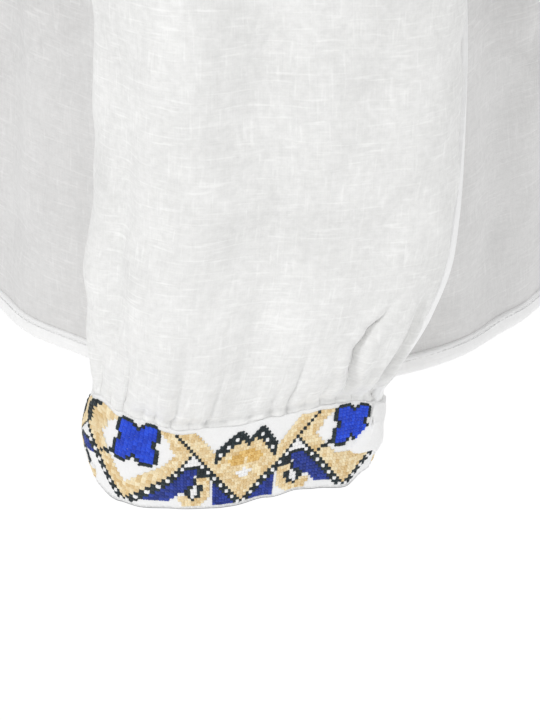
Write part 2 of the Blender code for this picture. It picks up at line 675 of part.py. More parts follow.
def main():
    clear_scene()
    blouse = bpy.data.collections.new("blouse")
    bpy.context.scene.collection.children.link(blouse)
    cloth = {
        "body_front": cloth_material("body_front_cloth", (0.82, 0.81, 0.79), 0.85),
        "body_back": cloth_material("body_back_cloth", (0.82, 0.81, 0.79), 0.85),
        "sleeve": cloth_material("sleeve_cloth", (0.86, 0.86, 0.84), 0.85),
        "cuff": cloth_material("cuff_cloth", (0.62, 0.60, 0.62), 0.75),
        "binding": cloth_material("binding_cloth", (0.86, 0.86, 0.84), 0.85),
    }
    for face in FACES:
        cloth_piece(blouse, "body_" + face, body_grid(face), cloth["body_" + face], WALL,
                    closed=False, flipped=face == "front", hem_rows=2)
    sleeve_rows = sleeve_grid()
    cuff_rows = cuff_grid()
    for side, sign in SIDES.items():
        other = sign < 0.0
        cloth_piece(blouse, "sleeve_" + side, mirrored(sleeve_rows) if other else sleeve_rows,
                    cloth["sleeve"], WALL, flipped=other)
        cloth_piece(blouse, "cuff_" + side, mirrored(cuff_rows) if other else cuff_rows,
                    cloth["cuff"], CUFF_WALL, flipped=other)
    cloth_piece(blouse, "neck_binding", binding_grid(), cloth["binding"], BINDING_WALL)


main()
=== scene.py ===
"""The blouse as it shows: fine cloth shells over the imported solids, with gathers, creases, hems, sewn
seams and the cross-stitched cuffs.

Metres, +Z up, front towards -Y, the wearer's left side towards +X. The surfaces come from the same named
sizes as the solids. The left side is worked out and the right side mirrors it.
"""
import math
from collections import namedtuple

import bpy
import numpy as np
from mathutils import Matrix, Vector


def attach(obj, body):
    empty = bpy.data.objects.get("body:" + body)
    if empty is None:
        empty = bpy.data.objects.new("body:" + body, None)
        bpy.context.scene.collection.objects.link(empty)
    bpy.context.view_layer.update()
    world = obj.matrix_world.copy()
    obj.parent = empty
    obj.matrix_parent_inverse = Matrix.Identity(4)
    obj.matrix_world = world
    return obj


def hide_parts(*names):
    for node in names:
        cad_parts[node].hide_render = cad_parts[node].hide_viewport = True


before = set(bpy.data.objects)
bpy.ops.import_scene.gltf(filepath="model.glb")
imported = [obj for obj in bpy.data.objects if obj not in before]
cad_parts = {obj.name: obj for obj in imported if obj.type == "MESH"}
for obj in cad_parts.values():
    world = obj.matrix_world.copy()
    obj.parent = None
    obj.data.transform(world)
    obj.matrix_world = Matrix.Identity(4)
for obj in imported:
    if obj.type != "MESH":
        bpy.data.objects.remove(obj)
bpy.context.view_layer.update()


def table(columns, rows):
    """Rows of values with named columns."""
    row_type = namedtuple("Row", columns)
    return [row_type(*row) for row in rows]


# Cloth thicknesses and seams
WALL = 0.0013
SHELL_OUT = WALL * 0.75
SEAM_GAP = 0.0003

# Lines of sewn stitches: pitch, length and radius of a stitch
HEM_SEWING = (0.0030, 0.0025, 0.00024)
NECK_SEWING = (0.0028, 0.0023, 0.0002)
EDGE_SEWING = (0.0026, 0.0021, 0.00018)
HEM_SEWING_HEIGHT = 0.0060
HEM_SEWING_OUT = 0.0014

# Sections of the hem and the neck binding, once round: how far up from the edge and how far out
HEM_SECTION = [(0.0078, 0.0006), (0.0077, 0.0014), (0.0071, 0.0019), (0.0060, 0.0016), (0.0048, 0.0019),
               (0.0030, 0.0021), (0.0011, 0.0020), (0.0001, 0.0014), (-0.0001, 0.0006), (0.0002, -0.0001),
               (0.0014, -0.0006), (0.0034, -0.0007), (0.0060, -0.0004), (0.0073, -0.0005), (0.0078, -0.0001)]
BINDING_SECTION = [(0.0000, 0.0002), (0.0000, 0.0020), (0.0010, 0.0024), (0.0030, 0.0022),
                   (0.0060, 0.0022), (0.0074, 0.0020), (0.0081, 0.0013), (0.0081, 0.0006),
                   (0.0074, 0.0001), (0.0050, 0.0000), (0.0020, 0.0000)]

# Body, from the hem ring up to the ring at the underarm
BODY_RINGS = table("z half_width half_depth", [
    (-0.610, 0.2180, 0.1530), (-0.540, 0.2178, 0.1495), (-0.460, 0.2172, 0.1440),
    (-0.380, 0.2160, 0.1375), (-0.315, 0.2148, 0.1310), (-0.262, 0.2135, 0.1250),
])
BODY_SIDE_POINT = 1.12
BODY_COLUMNS = 32
YOKE_ROWS = 11
YOKE_EASING_PASSES = 8
BODY_FINE_COLUMNS = 7
BODY_FINE_ROWS = [22, 20, 20, 16, 13] + [6] * YOKE_ROWS

# Shoulders, armholes and neckline
SHOULDER_HALF_WIDTH = 0.206
SHOULDER_DROP = 0.046
SHOULDER_CROWN = 0.004
NECK_HALF_WIDTH = 0.095
NECK_SHARE = 0.25
NECK_DROP = {"front": 0.115, "back": 0.028}
NECK_REACH = {"front": 0.078, "back": 0.062}
ARMHOLE_SWING = 0.25
ARMHOLE_LIFT = 0.05
ARMHOLE_CUT_IN = 0.045
ARMHOLE_MIDDLE = Vector((0.0, 0.0, -0.20))
SHOULDER_PULL = {"front": 0.20, "back": 0.28}
NECK_PULL = 0.10
NECK_TURN_SHARE = 0.13
NECK_FALL = 1.8
BINDING_COLUMNS = 240

# Soft flutes of the body below the chest, by share of the panel's width
BODY_FLUTES = {
    "front": table("share depth half_width top_z", [
        (0.13, 0.0030, 0.040, -0.40), (0.31, 0.0065, 0.045, -0.27),
        (0.47, 0.0040, 0.035, -0.36), (0.64, 0.0070, 0.050, -0.29),
        (0.86, 0.0035, 0.040, -0.42),
    ]),
    "back": table("share depth half_width top_z", [
        (0.16, 0.0035, 0.040, -0.38), (0.35, 0.0070, 0.048, -0.30),
        (0.55, 0.0050, 0.040, -0.33), (0.71, 0.0065, 0.045, -0.28),
        (0.87, 0.0030, 0.040, -0.44),
    ]),
}

# Creases of the body: x runs along the panel from its middle towards the wearer's left
BODY_CREASES = {
    "front": table("x_top z_top x_low z_low depth half_width", [
        (0.205, -0.225, 0.110, -0.300, 0.0028, 0.010), (-0.208, -0.230, -0.122, -0.322, 0.0024, 0.011),
        (0.215, -0.268, 0.150, -0.345, 0.0020, 0.009), (-0.205, -0.285, -0.160, -0.352, 0.0016, 0.008),
        (0.078, -0.150, 0.064, -0.340, 0.0020, 0.012), (-0.092, -0.135, -0.060, -0.300, 0.0022, 0.013),
        (0.004, -0.170, 0.016, -0.430, 0.0024, 0.016), (0.132, -0.355, 0.150, -0.720, 0.0032, 0.014),
        (-0.140, -0.330, -0.172, -0.720, 0.0036, 0.015), (-0.044, -0.420, -0.062, -0.720, 0.0026, 0.012),
        (0.050, -0.460, 0.044, -0.720, 0.0024, 0.010), (0.222, -0.360, 0.232, -0.720, 0.0034, 0.012),
        (0.262, -0.440, 0.256, -0.720, 0.0022, 0.009), (-0.236, -0.380, -0.244, -0.720, 0.0028, 0.013),
    ]),
    "back": table("x_top z_top x_low z_low depth half_width", [
        (0.190, -0.195, 0.092, -0.272, 0.0026, 0.012), (-0.196, -0.200, -0.104, -0.262, 0.0028, 0.011),
        (0.060, -0.110, 0.072, -0.380, 0.0026, 0.014), (-0.052, -0.100, -0.074, -0.350, 0.0024, 0.014),
        (0.002, -0.300, -0.010, -0.720, 0.0030, 0.014), (0.150, -0.300, 0.166, -0.720, 0.0034, 0.014),
        (-0.142, -0.330, -0.154, -0.720, 0.0032, 0.013), (0.078, -0.440, 0.090, -0.720, 0.0024, 0.011),
        (-0.072, -0.480, -0.066, -0.720, 0.0020, 0.010), (0.228, -0.350, 0.240, -0.720, 0.0032, 0.012),
        (0.268, -0.450, 0.264, -0.720, 0.0020, 0.009), (-0.232, -0.370, -0.226, -0.720, 0.0030, 0.013),
    ]),
}
BODY_CREASE_GAIN = 1.7

# Left sleeve, from the armhole to the cuff seam. Inner is the side that faces the body.
SLEEVE_RINGS = table("inner_x inner_z outer_x outer_z half_width centre_y roundness", [
    (0.2150, -0.2620, 0.2070, -0.0460, 0.0620, 0.0000, 2.0),
    (0.2200, -0.2645, 0.2330, -0.0520, 0.0680, 0.0000, 2.0),
    (0.2225, -0.2685, 0.2590, -0.0655, 0.0715, 0.0002, 2.0),
    (0.2240, -0.2745, 0.2830, -0.0880, 0.0742, 0.0005, 2.1),
    (0.2252, -0.2835, 0.3010, -0.1200, 0.0754, 0.0008, 2.1),
    (0.2261, -0.2970, 0.3145, -0.1640, 0.0752, 0.0010, 2.1),
    (0.2268, -0.3200, 0.3235, -0.2260, 0.0738, 0.0015, 2.2),
    (0.2272, -0.3520, 0.3265, -0.3010, 0.0716, 0.0020, 2.2),
    (0.2274, -0.3950, 0.3235, -0.3700, 0.0696, 0.0025, 2.2),
    (0.2275, -0.4380, 0.3180, -0.4300, 0.0685, 0.0027, 2.2),
    (0.2275, -0.4740, 0.3125, -0.4740, 0.0685, 0.0024, 2.2),
    (0.2276, -0.5040, 0.3080, -0.5040, 0.0692, 0.0010, 2.2),
    (0.2278, -0.5280, 0.3040, -0.5280, 0.0688, -0.0012, 2.3),
    (0.2282, -0.5480, 0.2998, -0.5480, 0.0660, -0.0041, 2.3),
    (0.2290, -0.5640, 0.2950, -0.5640, 0.0628, -0.0069, 2.3),
    (0.2302, -0.5770, 0.2896, -0.5770, 0.0597, -0.0098, 2.4),
    (0.2320, -0.5870, 0.2838, -0.5870, 0.0573, -0.0123, 2.4),
    (0.2334, -0.5914, 0.2786, -0.5914, 0.0566, -0.0133, 2.5),
    (0.2336, -0.5943, 0.2784, -0.5943, 0.0567, -0.0135, 2.5),
])
ROWS_PER_RING = [9, 9, 9, 10, 12, 15, 18, 18, 20, 18, 17, 17, 16, 15, 14, 12, 5, 5]
SLEEVE_SHARES = np.concatenate([
    np.linspace(0.00, 0.56, 160, endpoint=False),
    np.linspace(0.56, 0.75, 115, endpoint=False),
    np.linspace(0.75, 1.00, 70, endpoint=False),
])
ARMHOLE_EASE_ROWS = 5
SLEEVE_FLARE = 0.45

# Cuff band, a closed tube of three rings
CUFF_RINGS = table("z inner_x outer_x half_width centre_y", [
    (-0.5950, 0.2345, 0.2775, 0.0560, -0.0135),
    (-0.6130, 0.2330, 0.2790, 0.0571, -0.0159),
    (-0.6310, 0.2315, 0.2775, 0.0543, -0.0161),
])
CUFF_ROUNDNESS = 2.5
CUFF_COLUMNS = 360
CUFF_DEPTH = 0.036

# The band's section: down its face, round the lower edge, whose faces are painted grey as shade, and up
# inside. Each point is its share of the cuff's depth and how far out it is.
CUFF_OUT = 0.0020
FACE_RISES = np.concatenate([[1.000, 0.988, 0.970], np.linspace(0.94, 0.10, 30), [0.06, 0.035, 0.024]])
CUFF_SECTION = [(rise, CUFF_OUT) for rise in FACE_RISES] + [
    (0.022, 0.00205), (0.000, 0.0020), (-0.006, 0.0016), (-0.010, 0.0010), (-0.002, 0.0003),
    (0.02, -0.0001), (0.06, 0.0000), (0.25, 0.0001), (0.50, 0.0001), (0.75, 0.0001), (0.95, 0.0001),
    (0.99, 0.0004)]
# The loops round the lower edge, which take the grey material: a painted shade of the fold's underside.
PAINTED_SHADE_LOOPS = range(len(FACE_RISES), len(FACE_RISES) + 5)

# How the cuff's edges rise and dip
CUFF_EDGES = table("share top bottom", [
    (0.00, 0.0030, 0.0030), (0.10, 0.0025, 0.0045), (0.20, 0.0035, 0.0090),
    (0.26, 0.0055, 0.0075), (0.31, 0.0072, 0.0030), (0.36, 0.0031, -0.0012),
    (0.40, 0.0007, -0.0018), (0.45, -0.0024, -0.0015), (0.49, -0.0006, -0.0004),
    (0.53, 0.0040, 0.0040), (0.565, 0.0063, 0.0072), (0.59, 0.0080, 0.0066),
    (0.64, 0.0078, 0.0056), (0.69, 0.0050, 0.0095), (0.74, 0.0020, 0.0120),
    (0.84, 0.0010, 0.0070), (0.92, 0.0020, 0.0035),
])

# Gathers sewn into the cuff, by share of the way round from the side that faces the body, over the front
GATHERS = table("share depth reach", [
    (0.008, 0.0010, 0.030), (0.036, 0.0013, 0.044), (0.063, 0.0008, 0.026), (0.094, 0.0012, 0.038),
    (0.121, 0.0009, 0.028), (0.152, 0.0014, 0.050), (0.181, 0.0008, 0.024), (0.209, 0.0011, 0.036),
    (0.240, 0.0009, 0.030), (0.272, 0.0010, 0.034), (0.305, 0.0008, 0.026), (0.335, 0.0009, 0.030),
    (0.364, 0.0011, 0.048), (0.398, 0.0015, 0.034), (0.416, 0.0010, 0.026), (0.437, 0.0016, 0.040),
    (0.459, 0.0009, 0.028), (0.476, 0.0011, 0.044), (0.492, 0.0008, 0.024), (0.508, 0.0011, 0.032),
    (0.525, 0.0009, 0.028), (0.543, 0.0016, 0.054), (0.563, 0.0006, 0.022), (0.583, 0.0006, 0.024),
    (0.606, 0.0006, 0.020), (0.635, 0.0007, 0.022), (0.661, 0.0007, 0.022), (0.687, 0.0012, 0.030),
    (0.716, 0.0009, 0.028), (0.748, 0.0011, 0.034), (0.776, 0.0009, 0.026), (0.806, 0.0014, 0.046),
    (0.836, 0.0008, 0.026), (0.866, 0.0012, 0.040), (0.897, 0.0009, 0.028), (0.925, 0.0013, 0.036),
    (0.953, 0.0008, 0.024), (0.980, 0.0011, 0.034),
])
GATHER_SHARPNESS = 0.6
GATHER_CREST = 1.35
GATHER_SEAM_SHARE = 0.80
GATHER_SEAM_RISE = 0.004
GATHER_REACH_GAIN = 1.5
GATHER_DEPTH_GAIN = 1.30
PUFF_SAG = 1.5

# Folds and creases of the sleeve. Each is a trough through its points, from the top down, and a point
# is its height, its share of the way round and its depth.
FoldPoint = namedtuple("FoldPoint", "z share depth")
FOLDS = table("name half_width ridge points", [
    ("front_edge", 0.0095, 0.35, [(-0.40, 0.335, 0.0), (-0.50, 0.338, 0.0032), (-0.56, 0.346, 0.0036),
        (-0.61, 0.362, 0.0012)]),
    ("middle", 0.0125, 0.40, [(-0.34, 0.470, 0.0), (-0.44, 0.484, 0.0058), (-0.53, 0.492, 0.0056),
        (-0.61, 0.498, 0.0014)]),
    ("broad", 0.024, 0.35, [(-0.28, 0.515, 0.0), (-0.42, 0.545, 0.0066), (-0.52, 0.558, 0.0062),
        (-0.60, 0.560, 0.0008)]),
    ("slant", 0.0025, 0.45, [(-0.529, 0.634, 0.0), (-0.538, 0.620, 0.0012), (-0.547, 0.604, 0.0032),
        (-0.556, 0.596, 0.0044), (-0.566, 0.601, 0.0044), (-0.585, 0.617, 0.0034),
        (-0.61, 0.622, 0.0016)]),
    ("deep", 0.0032, 0.45, [(-0.528, 0.672, 0.0), (-0.545, 0.666, 0.0024), (-0.556, 0.661, 0.0056),
        (-0.568, 0.662, 0.0072), (-0.580, 0.668, 0.0070), (-0.590, 0.677, 0.0052),
        (-0.61, 0.684, 0.0020)]),
    ("roll", 0.0085, 0.0, [(-0.535, 0.650, 0.0), (-0.550, 0.634, -0.0024), (-0.562, 0.630, -0.0030),
        (-0.580, 0.642, -0.0020), (-0.61, 0.650, 0.0)]),
    ("back_wrist", 0.014, 0.0, [(-0.520, 0.735, 0.0), (-0.548, 0.738, 0.0016), (-0.572, 0.742, 0.0028),
        (-0.588, 0.745, 0.0022), (-0.61, 0.750, 0.0)]),
    ("back_long", 0.012, 0.35, [(-0.30, 0.800, 0.0), (-0.42, 0.815, 0.0042), (-0.54, 0.826, 0.0038),
        (-0.61, 0.836, 0.0008)]),
    ("front_long", 0.011, 0.35, [(-0.32, 0.205, 0.0), (-0.45, 0.214, 0.0038), (-0.55, 0.210, 0.0036),
        (-0.61, 0.209, 0.0008)]),
    ("elbow_front", 0.015, 0.35, [(-0.10, 0.400, 0.0), (-0.20, 0.345, 0.0045), (-0.30, 0.270, 0.0050),
        (-0.38, 0.225, 0.0)]),
    ("elbow_back", 0.015, 0.35, [(-0.12, 0.590, 0.0), (-0.22, 0.650, 0.0045), (-0.32, 0.725, 0.0050),
        (-0.40, 0.775, 0.0)]),
    ("wrist_a", 0.0042, 0.4, [(-0.545, 0.414, 0.0), (-0.575, 0.404, 0.0011), (-0.61, 0.398, 0.0016)]),
    ("wrist_b", 0.0050, 0.4, [(-0.530, 0.428, 0.0), (-0.560, 0.441, 0.0013), (-0.585, 0.444, 0.0017),
        (-0.61, 0.436, 0.0016)]),
    ("wrist_c", 0.0050, 0.4, [(-0.505, 0.512, 0.0), (-0.555, 0.494, 0.0014), (-0.61, 0.508, 0.0012)]),
    ("wrist_d", 0.0044, 0.4, [(-0.535, 0.548, 0.0), (-0.575, 0.545, 0.0014), (-0.61, 0.543, 0.0016)]),
    ("wrist_e", 0.0042, 0.4, [(-0.550, 0.574, 0.0), (-0.580, 0.580, 0.0010), (-0.61, 0.583, 0.0012)]),
    ("wrist_f", 0.0048, 0.4, [(-0.520, 0.132, 0.0), (-0.565, 0.146, 0.0015), (-0.61, 0.152, 0.0014)]),
    ("wrist_g", 0.0045, 0.4, [(-0.540, 0.250, 0.0), (-0.575, 0.243, 0.0012), (-0.61, 0.240, 0.0012)]),
    ("wrist_h", 0.0046, 0.4, [(-0.525, 0.288, 0.0), (-0.570, 0.300, 0.0012), (-0.61, 0.305, 0.0010)]),
    ("wrist_i", 0.0046, 0.4, [(-0.530, 0.790, 0.0), (-0.572, 0.800, 0.0014), (-0.61, 0.806, 0.0014)]),
    ("wrist_j", 0.0048, 0.4, [(-0.515, 0.884, 0.0), (-0.565, 0.872, 0.0014), (-0.61, 0.866, 0.0012)]),
    ("wrist_k", 0.0046, 0.4, [(-0.535, 0.946, 0.0), (-0.575, 0.932, 0.0012), (-0.61, 0.925, 0.0013)]),
    ("wrist_l", 0.0048, 0.4, [(-0.525, 0.044, 0.0), (-0.570, 0.038, 0.0013), (-0.61, 0.036, 0.0013)]),
    ("cap_front", 0.010, 0.3, [(-0.070, 0.420, 0.0), (-0.11, 0.380, 0.0018), (-0.17, 0.330, 0.0)]),
    ("cap_back", 0.010, 0.3, [(-0.075, 0.575, 0.0), (-0.12, 0.612, 0.0018), (-0.18, 0.660, 0.0)]),
])
FOLD_SEAM_RISE = 0.012

# The sleeve's sewn seam, from the underarm down the back to the cuff
SLEEVE_SEAM = table("place share", [
    (0.0, 0.985), (3.0, 0.955), (5.0, 0.905), (7.0, 0.830), (8.0, 0.790),
    (9.0, 0.758), (10.0, 0.732), (11.0, 0.713), (12.0, 0.706), (13.0, 0.702),
    (14.0, 0.699), (15.0, 0.699), (16.0, 0.704), (17.0, 0.711), (18.0, 0.716),
])

# Cross-stitch
CELL = 0.00132
BAND_ROWS = 27
REPEAT = 64
HALF_REPEAT = REPEAT // 2
DIAMOND_ARC = 0.0054
STRAND_HALF_WIDTH = 0.00046
STRAND_RISE = 0.00044
# Floss of each thread, darkest and lightest
FLOSS_COLOURS = {
    "royal": ((0.008, 0.045, 0.50), (0.020, 0.095, 0.82)),
    "blue": ((0.010, 0.026, 0.17), (0.030, 0.065, 0.42)),
    "dark": ((0.006, 0.012, 0.015), (0.024, 0.040, 0.046)),
    "gold": ((0.66, 0.40, 0.10), (0.90, 0.64, 0.25)),
    "beige": ((0.72, 0.50, 0.22), (0.99, 0.88, 0.62)),
    "white": ((0.88, 0.88, 0.88), (0.97, 0.97, 0.97)),
}
THREADS = list(FLOSS_COLOURS)
FLOWER = [
    ".KKK...KKK.",
    "KBBBK.KBBBK",
    "KBBBBKBBBBK",
    "KBBBBBBBBBK",
    "KBBBBBBBBBK",
    ".KBBBBBBBK.",
    ".KBBBBBBBK.",
    "KBBBBBBBBBK",
    "KBBBBBBBBBK",
    "KBBBBKBBBBK",
    "KBBBK.KBBBK",
    ".KKK...KKK.",
]
FLOWER_BOTTOM_ROW = 14
FLOWER_AXIS_COLUMN = 5
STEM = [(-6, 15), (-7, 14), (-8, 14), (-9, 13)]

# The drop in the triangle between a flower and the diamond, from its column nearest the flower
DROP = [
    "UUUUUKEEEE",
    "UUUUUKEEEE",
    "UUUKKWKKEE",
    "UUKKWWKKEE",
    "WWKKWWKEEE",
    "EEEKWKKEEE",
    "EEEEKEEEE.",
    ".EEEEEEE..",
    ".EEEEEE...",
]
DROP_FIRST = 20
DROP_LOW = 2

# The loose fold that lies over the left band's second flower, in cells from the diamond and rows: how far
# down and up it reaches at columns from its tip
LOOSE_TOP_ROW = 26.4
LOOSE_COLUMNS = [31.2, 33.5, 35.5, 37.6, 38.3, 40.0, 42.0, 44.0, 47.0, 50.0]
LOOSE_LOWS = [12.9, 10.9, 10.2, 9.8, 9.7, 9.4, 8.0, 6.5, 5.2, 5.2]
LOOSE_HIGHS = [13.4, 15.4, 17.3, 19.3] + [LOOSE_TOP_ROW] * 6
LOOSE_HEIGHT = 0.0013
LOOSE_SWELL = 0.0014
LOOSE_UPRIGHT = 37.9
LOOSE_CORNER_ROW = 19.3
LOOSE_SLANT = 0.74
LOOSE_COVER = 1.2
LOOSE_BESIDE_COLUMNS = range(38, 49)
LOOSE_BESIDE_ROW = 19

# Studio. The camera looks square at the wearer's left side, and the middle of the cuff's top ring is at
# the same pixel as in the photograph.
LIGHTS = table("name place aim size power", [
    ("key", (2.6, -1.7, 1.9), (0.2, 0.0, -0.4), 1.0, 42.0),
    ("fill", (0.7, 3.2, 0.8), (0.2, 0.0, -0.4), 2.4, 13.0),
    ("back", (-2.6, 0.6, 1.6), (0.0, 0.0, -0.4), 2.4, 5.0),
])
CAMERA_DISTANCE = 1.8
CAMERA_ELEVATION = math.radians(26.0)
PIXELS_PER_METRE = 2500.0
IMAGE_WIDTH = 540.0
IMAGE_HEIGHT = 720.0
SENSOR_HEIGHT = 36.0
CUFF_TOP_MIDDLE = Vector((0.256, -0.0135, -0.595))
CUFF_PIXEL = (237.5, 400.0)
FLOOR_Z = -1.42
FLOOR_HALF = 8.0

# What each piece was cut to
BODY_FLAT = (0.70, 0.66)
BODY_AREA = {"front": 0.300, "back": 0.315}
SLEEVE_FLAT = (0.48, 0.56)
SLEEVE_AREA = 0.205
CUFF_FLAT = (0.289, 0.038)
BINDING_FLAT = (0.53, 0.011)

SIDES = {"left": 1.0, "right": -1.0}
FACES = {"front": -1.0, "back": 1.0}
ROOT = "root"
random = np.random.default_rng(20)


def mix(a, b, share):
    """The value that lies the given share of the way from a to b."""
    return a + (b - a) * share


def ease(share):
    """A smooth step from 0 to 1, for numbers and arrays."""
    share = np.clip(share, 0.0, 1.0)
    return share * share * (3.0 - 2.0 * share)


def hermite(start, start_pull, end, end_pull, share):
    """The curve from start to end that leaves and arrives along the two pulls."""
    s2 = share * share
    s3 = s2 * share
    return (
        start * (2.0 * s3 - 3.0 * s2 + 1.0)
        + start_pull * (s3 - 2.0 * s2 + share)
        + end * (3.0 * s2 - 2.0 * s3)
        + end_pull * (s3 - s2)
    )


def column_of(rows, name):
    """A column of a table."""
    return np.array([getattr(row, name) for row in rows])


def through_rows(rows, places, column):
    """A column of a table at places down it, on a smooth curve through its rows."""
    values = column_of(rows, column)
    last = len(rows) - 1
    places = np.asarray(places, float)
    index = np.clip(places.astype(int), 0, last - 1)
    before = values[np.maximum(0, index - 1)]
    here = values[index]
    after = values[index + 1]
    beyond = values[np.minimum(last, index + 2)]
    return hermite(here, (after - before) / 2.0, after, (beyond - here) / 2.0, places - index)


def round_between(rows, shares):
    """The rows before and after each share in a table that goes once round, and how far between them."""
    starts = column_of(rows, "share")
    index = (np.searchsorted(starts, shares % 1.0, side="right") - 1) % len(rows)
    following = (index + 1) % len(rows)
    return index, following, (shares - starts[index]) % 1.0 / ((starts[following] - starts[index]) % 1.0)


def round_trip(rows, shares, column):
    """A column of a table that goes once round, at shares of the way, eased between its rows."""
    values = column_of(rows, column)
    index, following, local = round_between(rows, shares)
    return mix(values[index], values[following], ease(local))


def unit(vectors):
    """The same vectors at length 1."""
    return vectors / np.maximum(np.linalg.norm(vectors, axis=-1, keepdims=True), 1e-12)


def run_of(points, axis, closed):
    """How points run along an axis of their grid, and on past its ends where it is closed."""
    if closed:
        return (np.roll(points, -1, axis) - np.roll(points, 1, axis)) / 2.0
    return np.gradient(points, axis=axis)


def grid_normals(points, closed):
    """The way a grid of points faces, from its rows and columns."""
    return unit(np.cross(run_of(points, 1, closed), run_of(points, 0, False)))


# Body surface


def flute_depth(face, share, z):
    """How far a body panel is drawn in at a share of its width and a height."""
    total = 0.0
    panel_width = math.pi * BODY_RINGS[0].half_width
    for flute in BODY_FLUTES[face]:
        away = (share - flute.share) * panel_width / flute.half_width
        fall = ease((flute.top_z - z) / (flute.top_z - BODY_RINGS[0].z))
        total += flute.depth * fall * (math.exp(-away * away) - 0.4 * math.exp(-(abs(away) - 1.6) ** 2))
    return total


def body_ring_point(face, place, share):
    """A point of the tube below the underarm. Share 0 is the right side seam and 1 the left."""
    z = through_rows(BODY_RINGS, place, "z")
    half_width = through_rows(BODY_RINGS, place, "half_width")
    half_depth = through_rows(BODY_RINGS, place, "half_depth")
    angle = math.pi * (1.0 - share)
    forward = max(0.0, math.sin(angle)) ** BODY_SIDE_POINT if 0.0 < share < 1.0 else 0.0
    drawn = 1.0 - flute_depth(face, share, z) / half_depth
    y = FACES[face] * (SEAM_GAP / 2.0 + half_depth * drawn * forward)
    return Vector((half_width * math.cos(angle), y, z))


def neck_point(face, angle):
    """The neckline: angle 0 is the left neck point and pi the right one."""
    bend = max(0.0, math.sin(angle))
    y = FACES[face] * (SEAM_GAP / 2.0 + NECK_REACH[face] * bend)
    return Vector((NECK_HALF_WIDTH * math.cos(angle), y, -NECK_DROP[face] * bend ** NECK_FALL))


def neck_normal(face, angle):
    """The way the cloth faces along the neckline: up beside the neck, forward or back at its middle."""
    bend = max(0.0, math.sin(angle))
    return Vector((0.38 * math.cos(angle), FACES[face] * 0.95 * bend, mix(0.92, 0.40, bend))).normalized()


def neck_rise(face, angle):
    """The way the cloth runs up into the neckline, square to its edge."""
    step = 0.01
    low = min(math.pi - step, max(step, angle))
    along = neck_point(face, low + step) - neck_point(face, low - step)
    rise = neck_normal(face, angle).cross(along).normalized()
    return rise if rise.z > 0.0 else -rise


def shoulder_point(face, side, share):
    """The shoulder seam, from the armhole (share 0) to the neck point (share 1)."""
    x = side * mix(SHOULDER_HALF_WIDTH, NECK_HALF_WIDTH, share)
    z = mix(-SHOULDER_DROP, 0.0, share) + SHOULDER_CROWN * math.sin(math.pi * share)
    return Vector((x, FACES[face] * SEAM_GAP / 2.0, z))


def yoke_column(face, share):
    """Both ends of a panel's column above the underarm, each with the pull of the cloth there."""
    sign = FACES[face]
    side = math.copysign(1.0, share - 0.5)
    inward = min(share, 1.0 - share)
    start = body_ring_point(face, len(BODY_RINGS) - 1.0, share)
    edge = (1.0 - 2.0 * inward) ** 2.2
    armhole_start = Vector((-side * ARMHOLE_CUT_IN, sign * ARMHOLE_SWING, ARMHOLE_LIFT))
    armhole_end = Vector((side * ARMHOLE_CUT_IN, -sign * ARMHOLE_SWING, 0.02))
    shoulder_end = Vector((0.0, -sign * SHOULDER_PULL[face], 0.02))
    corner_end = Vector((-side * 0.02, -sign * SHOULDER_PULL[face], 0.02))
    if inward <= NECK_SHARE:
        end = shoulder_point(face, side, inward / NECK_SHARE)
        end_pull = shoulder_end.lerp(corner_end, ease(inward / NECK_SHARE)).lerp(armhole_end, edge)
    else:
        angle = math.pi * (1.0 - share - NECK_SHARE) / (1.0 - 2.0 * NECK_SHARE)
        end = neck_point(face, angle)
        middle = min(1.0, (inward - NECK_SHARE) / NECK_TURN_SHARE)
        end_pull = corner_end.lerp(neck_rise(face, angle) * NECK_PULL, middle)
    start_pull = Vector((0.0, 0.0, 0.15)).lerp(armhole_start, edge)
    return start, start_pull, end, end_pull


def relaxed(rows, first_row):
    """The same rows with the yoke's inner points eased towards their neighbours, its edges held."""
    for _ in range(YOKE_EASING_PASSES):
        before = rows.copy()
        beside = (before[first_row:-1, :-2] + before[first_row:-1, 2:]) / 2.0
        above_below = (before[first_row - 1:-2, 1:-1] + before[first_row + 1:, 1:-1]) / 2.0
        aim = mix(beside, above_below, 0.3)
        rows[first_row:-1, 1:-1] = mix(before[first_row:-1, 1:-1], aim, 0.6)
    return rows


def body_grid(face):
    """Rows of points of a front or back panel, from the hem to the shoulders and the neckline."""
    shares = [column / BODY_COLUMNS for column in range(BODY_COLUMNS + 1)]
    last = len(BODY_RINGS) - 1
    rows = [[body_ring_point(face, float(ring), share) for share in shares] for ring in range(last)]
    columns = [yoke_column(face, share) for share in shares]
    for row in range(YOKE_ROWS + 1):
        rows.append([hermite(*column, row / YOKE_ROWS) for column in columns])
    return relaxed(np.array([[tuple(point) for point in row] for row in rows]), last + 2)


def refined(points, steps, axis):
    """The grid with more points along an axis, on smooth curves through the ones it has."""
    points = np.moveaxis(points, axis, 0)
    spans = np.linalg.norm(np.diff(points, axis=0), axis=-1).mean(axis=1)
    knots = np.concatenate([[0.0], np.cumsum(spans)])
    slopes = np.gradient(points, knots, axis=0)
    rows = []
    for index, span in enumerate(spans):
        for step in range(steps[index]):
            rows.append(hermite(points[index], slopes[index] * span, points[index + 1],
                                slopes[index + 1] * span, step / steps[index]))
    rows.append(points[-1])
    return np.moveaxis(np.array(rows), 0, axis)


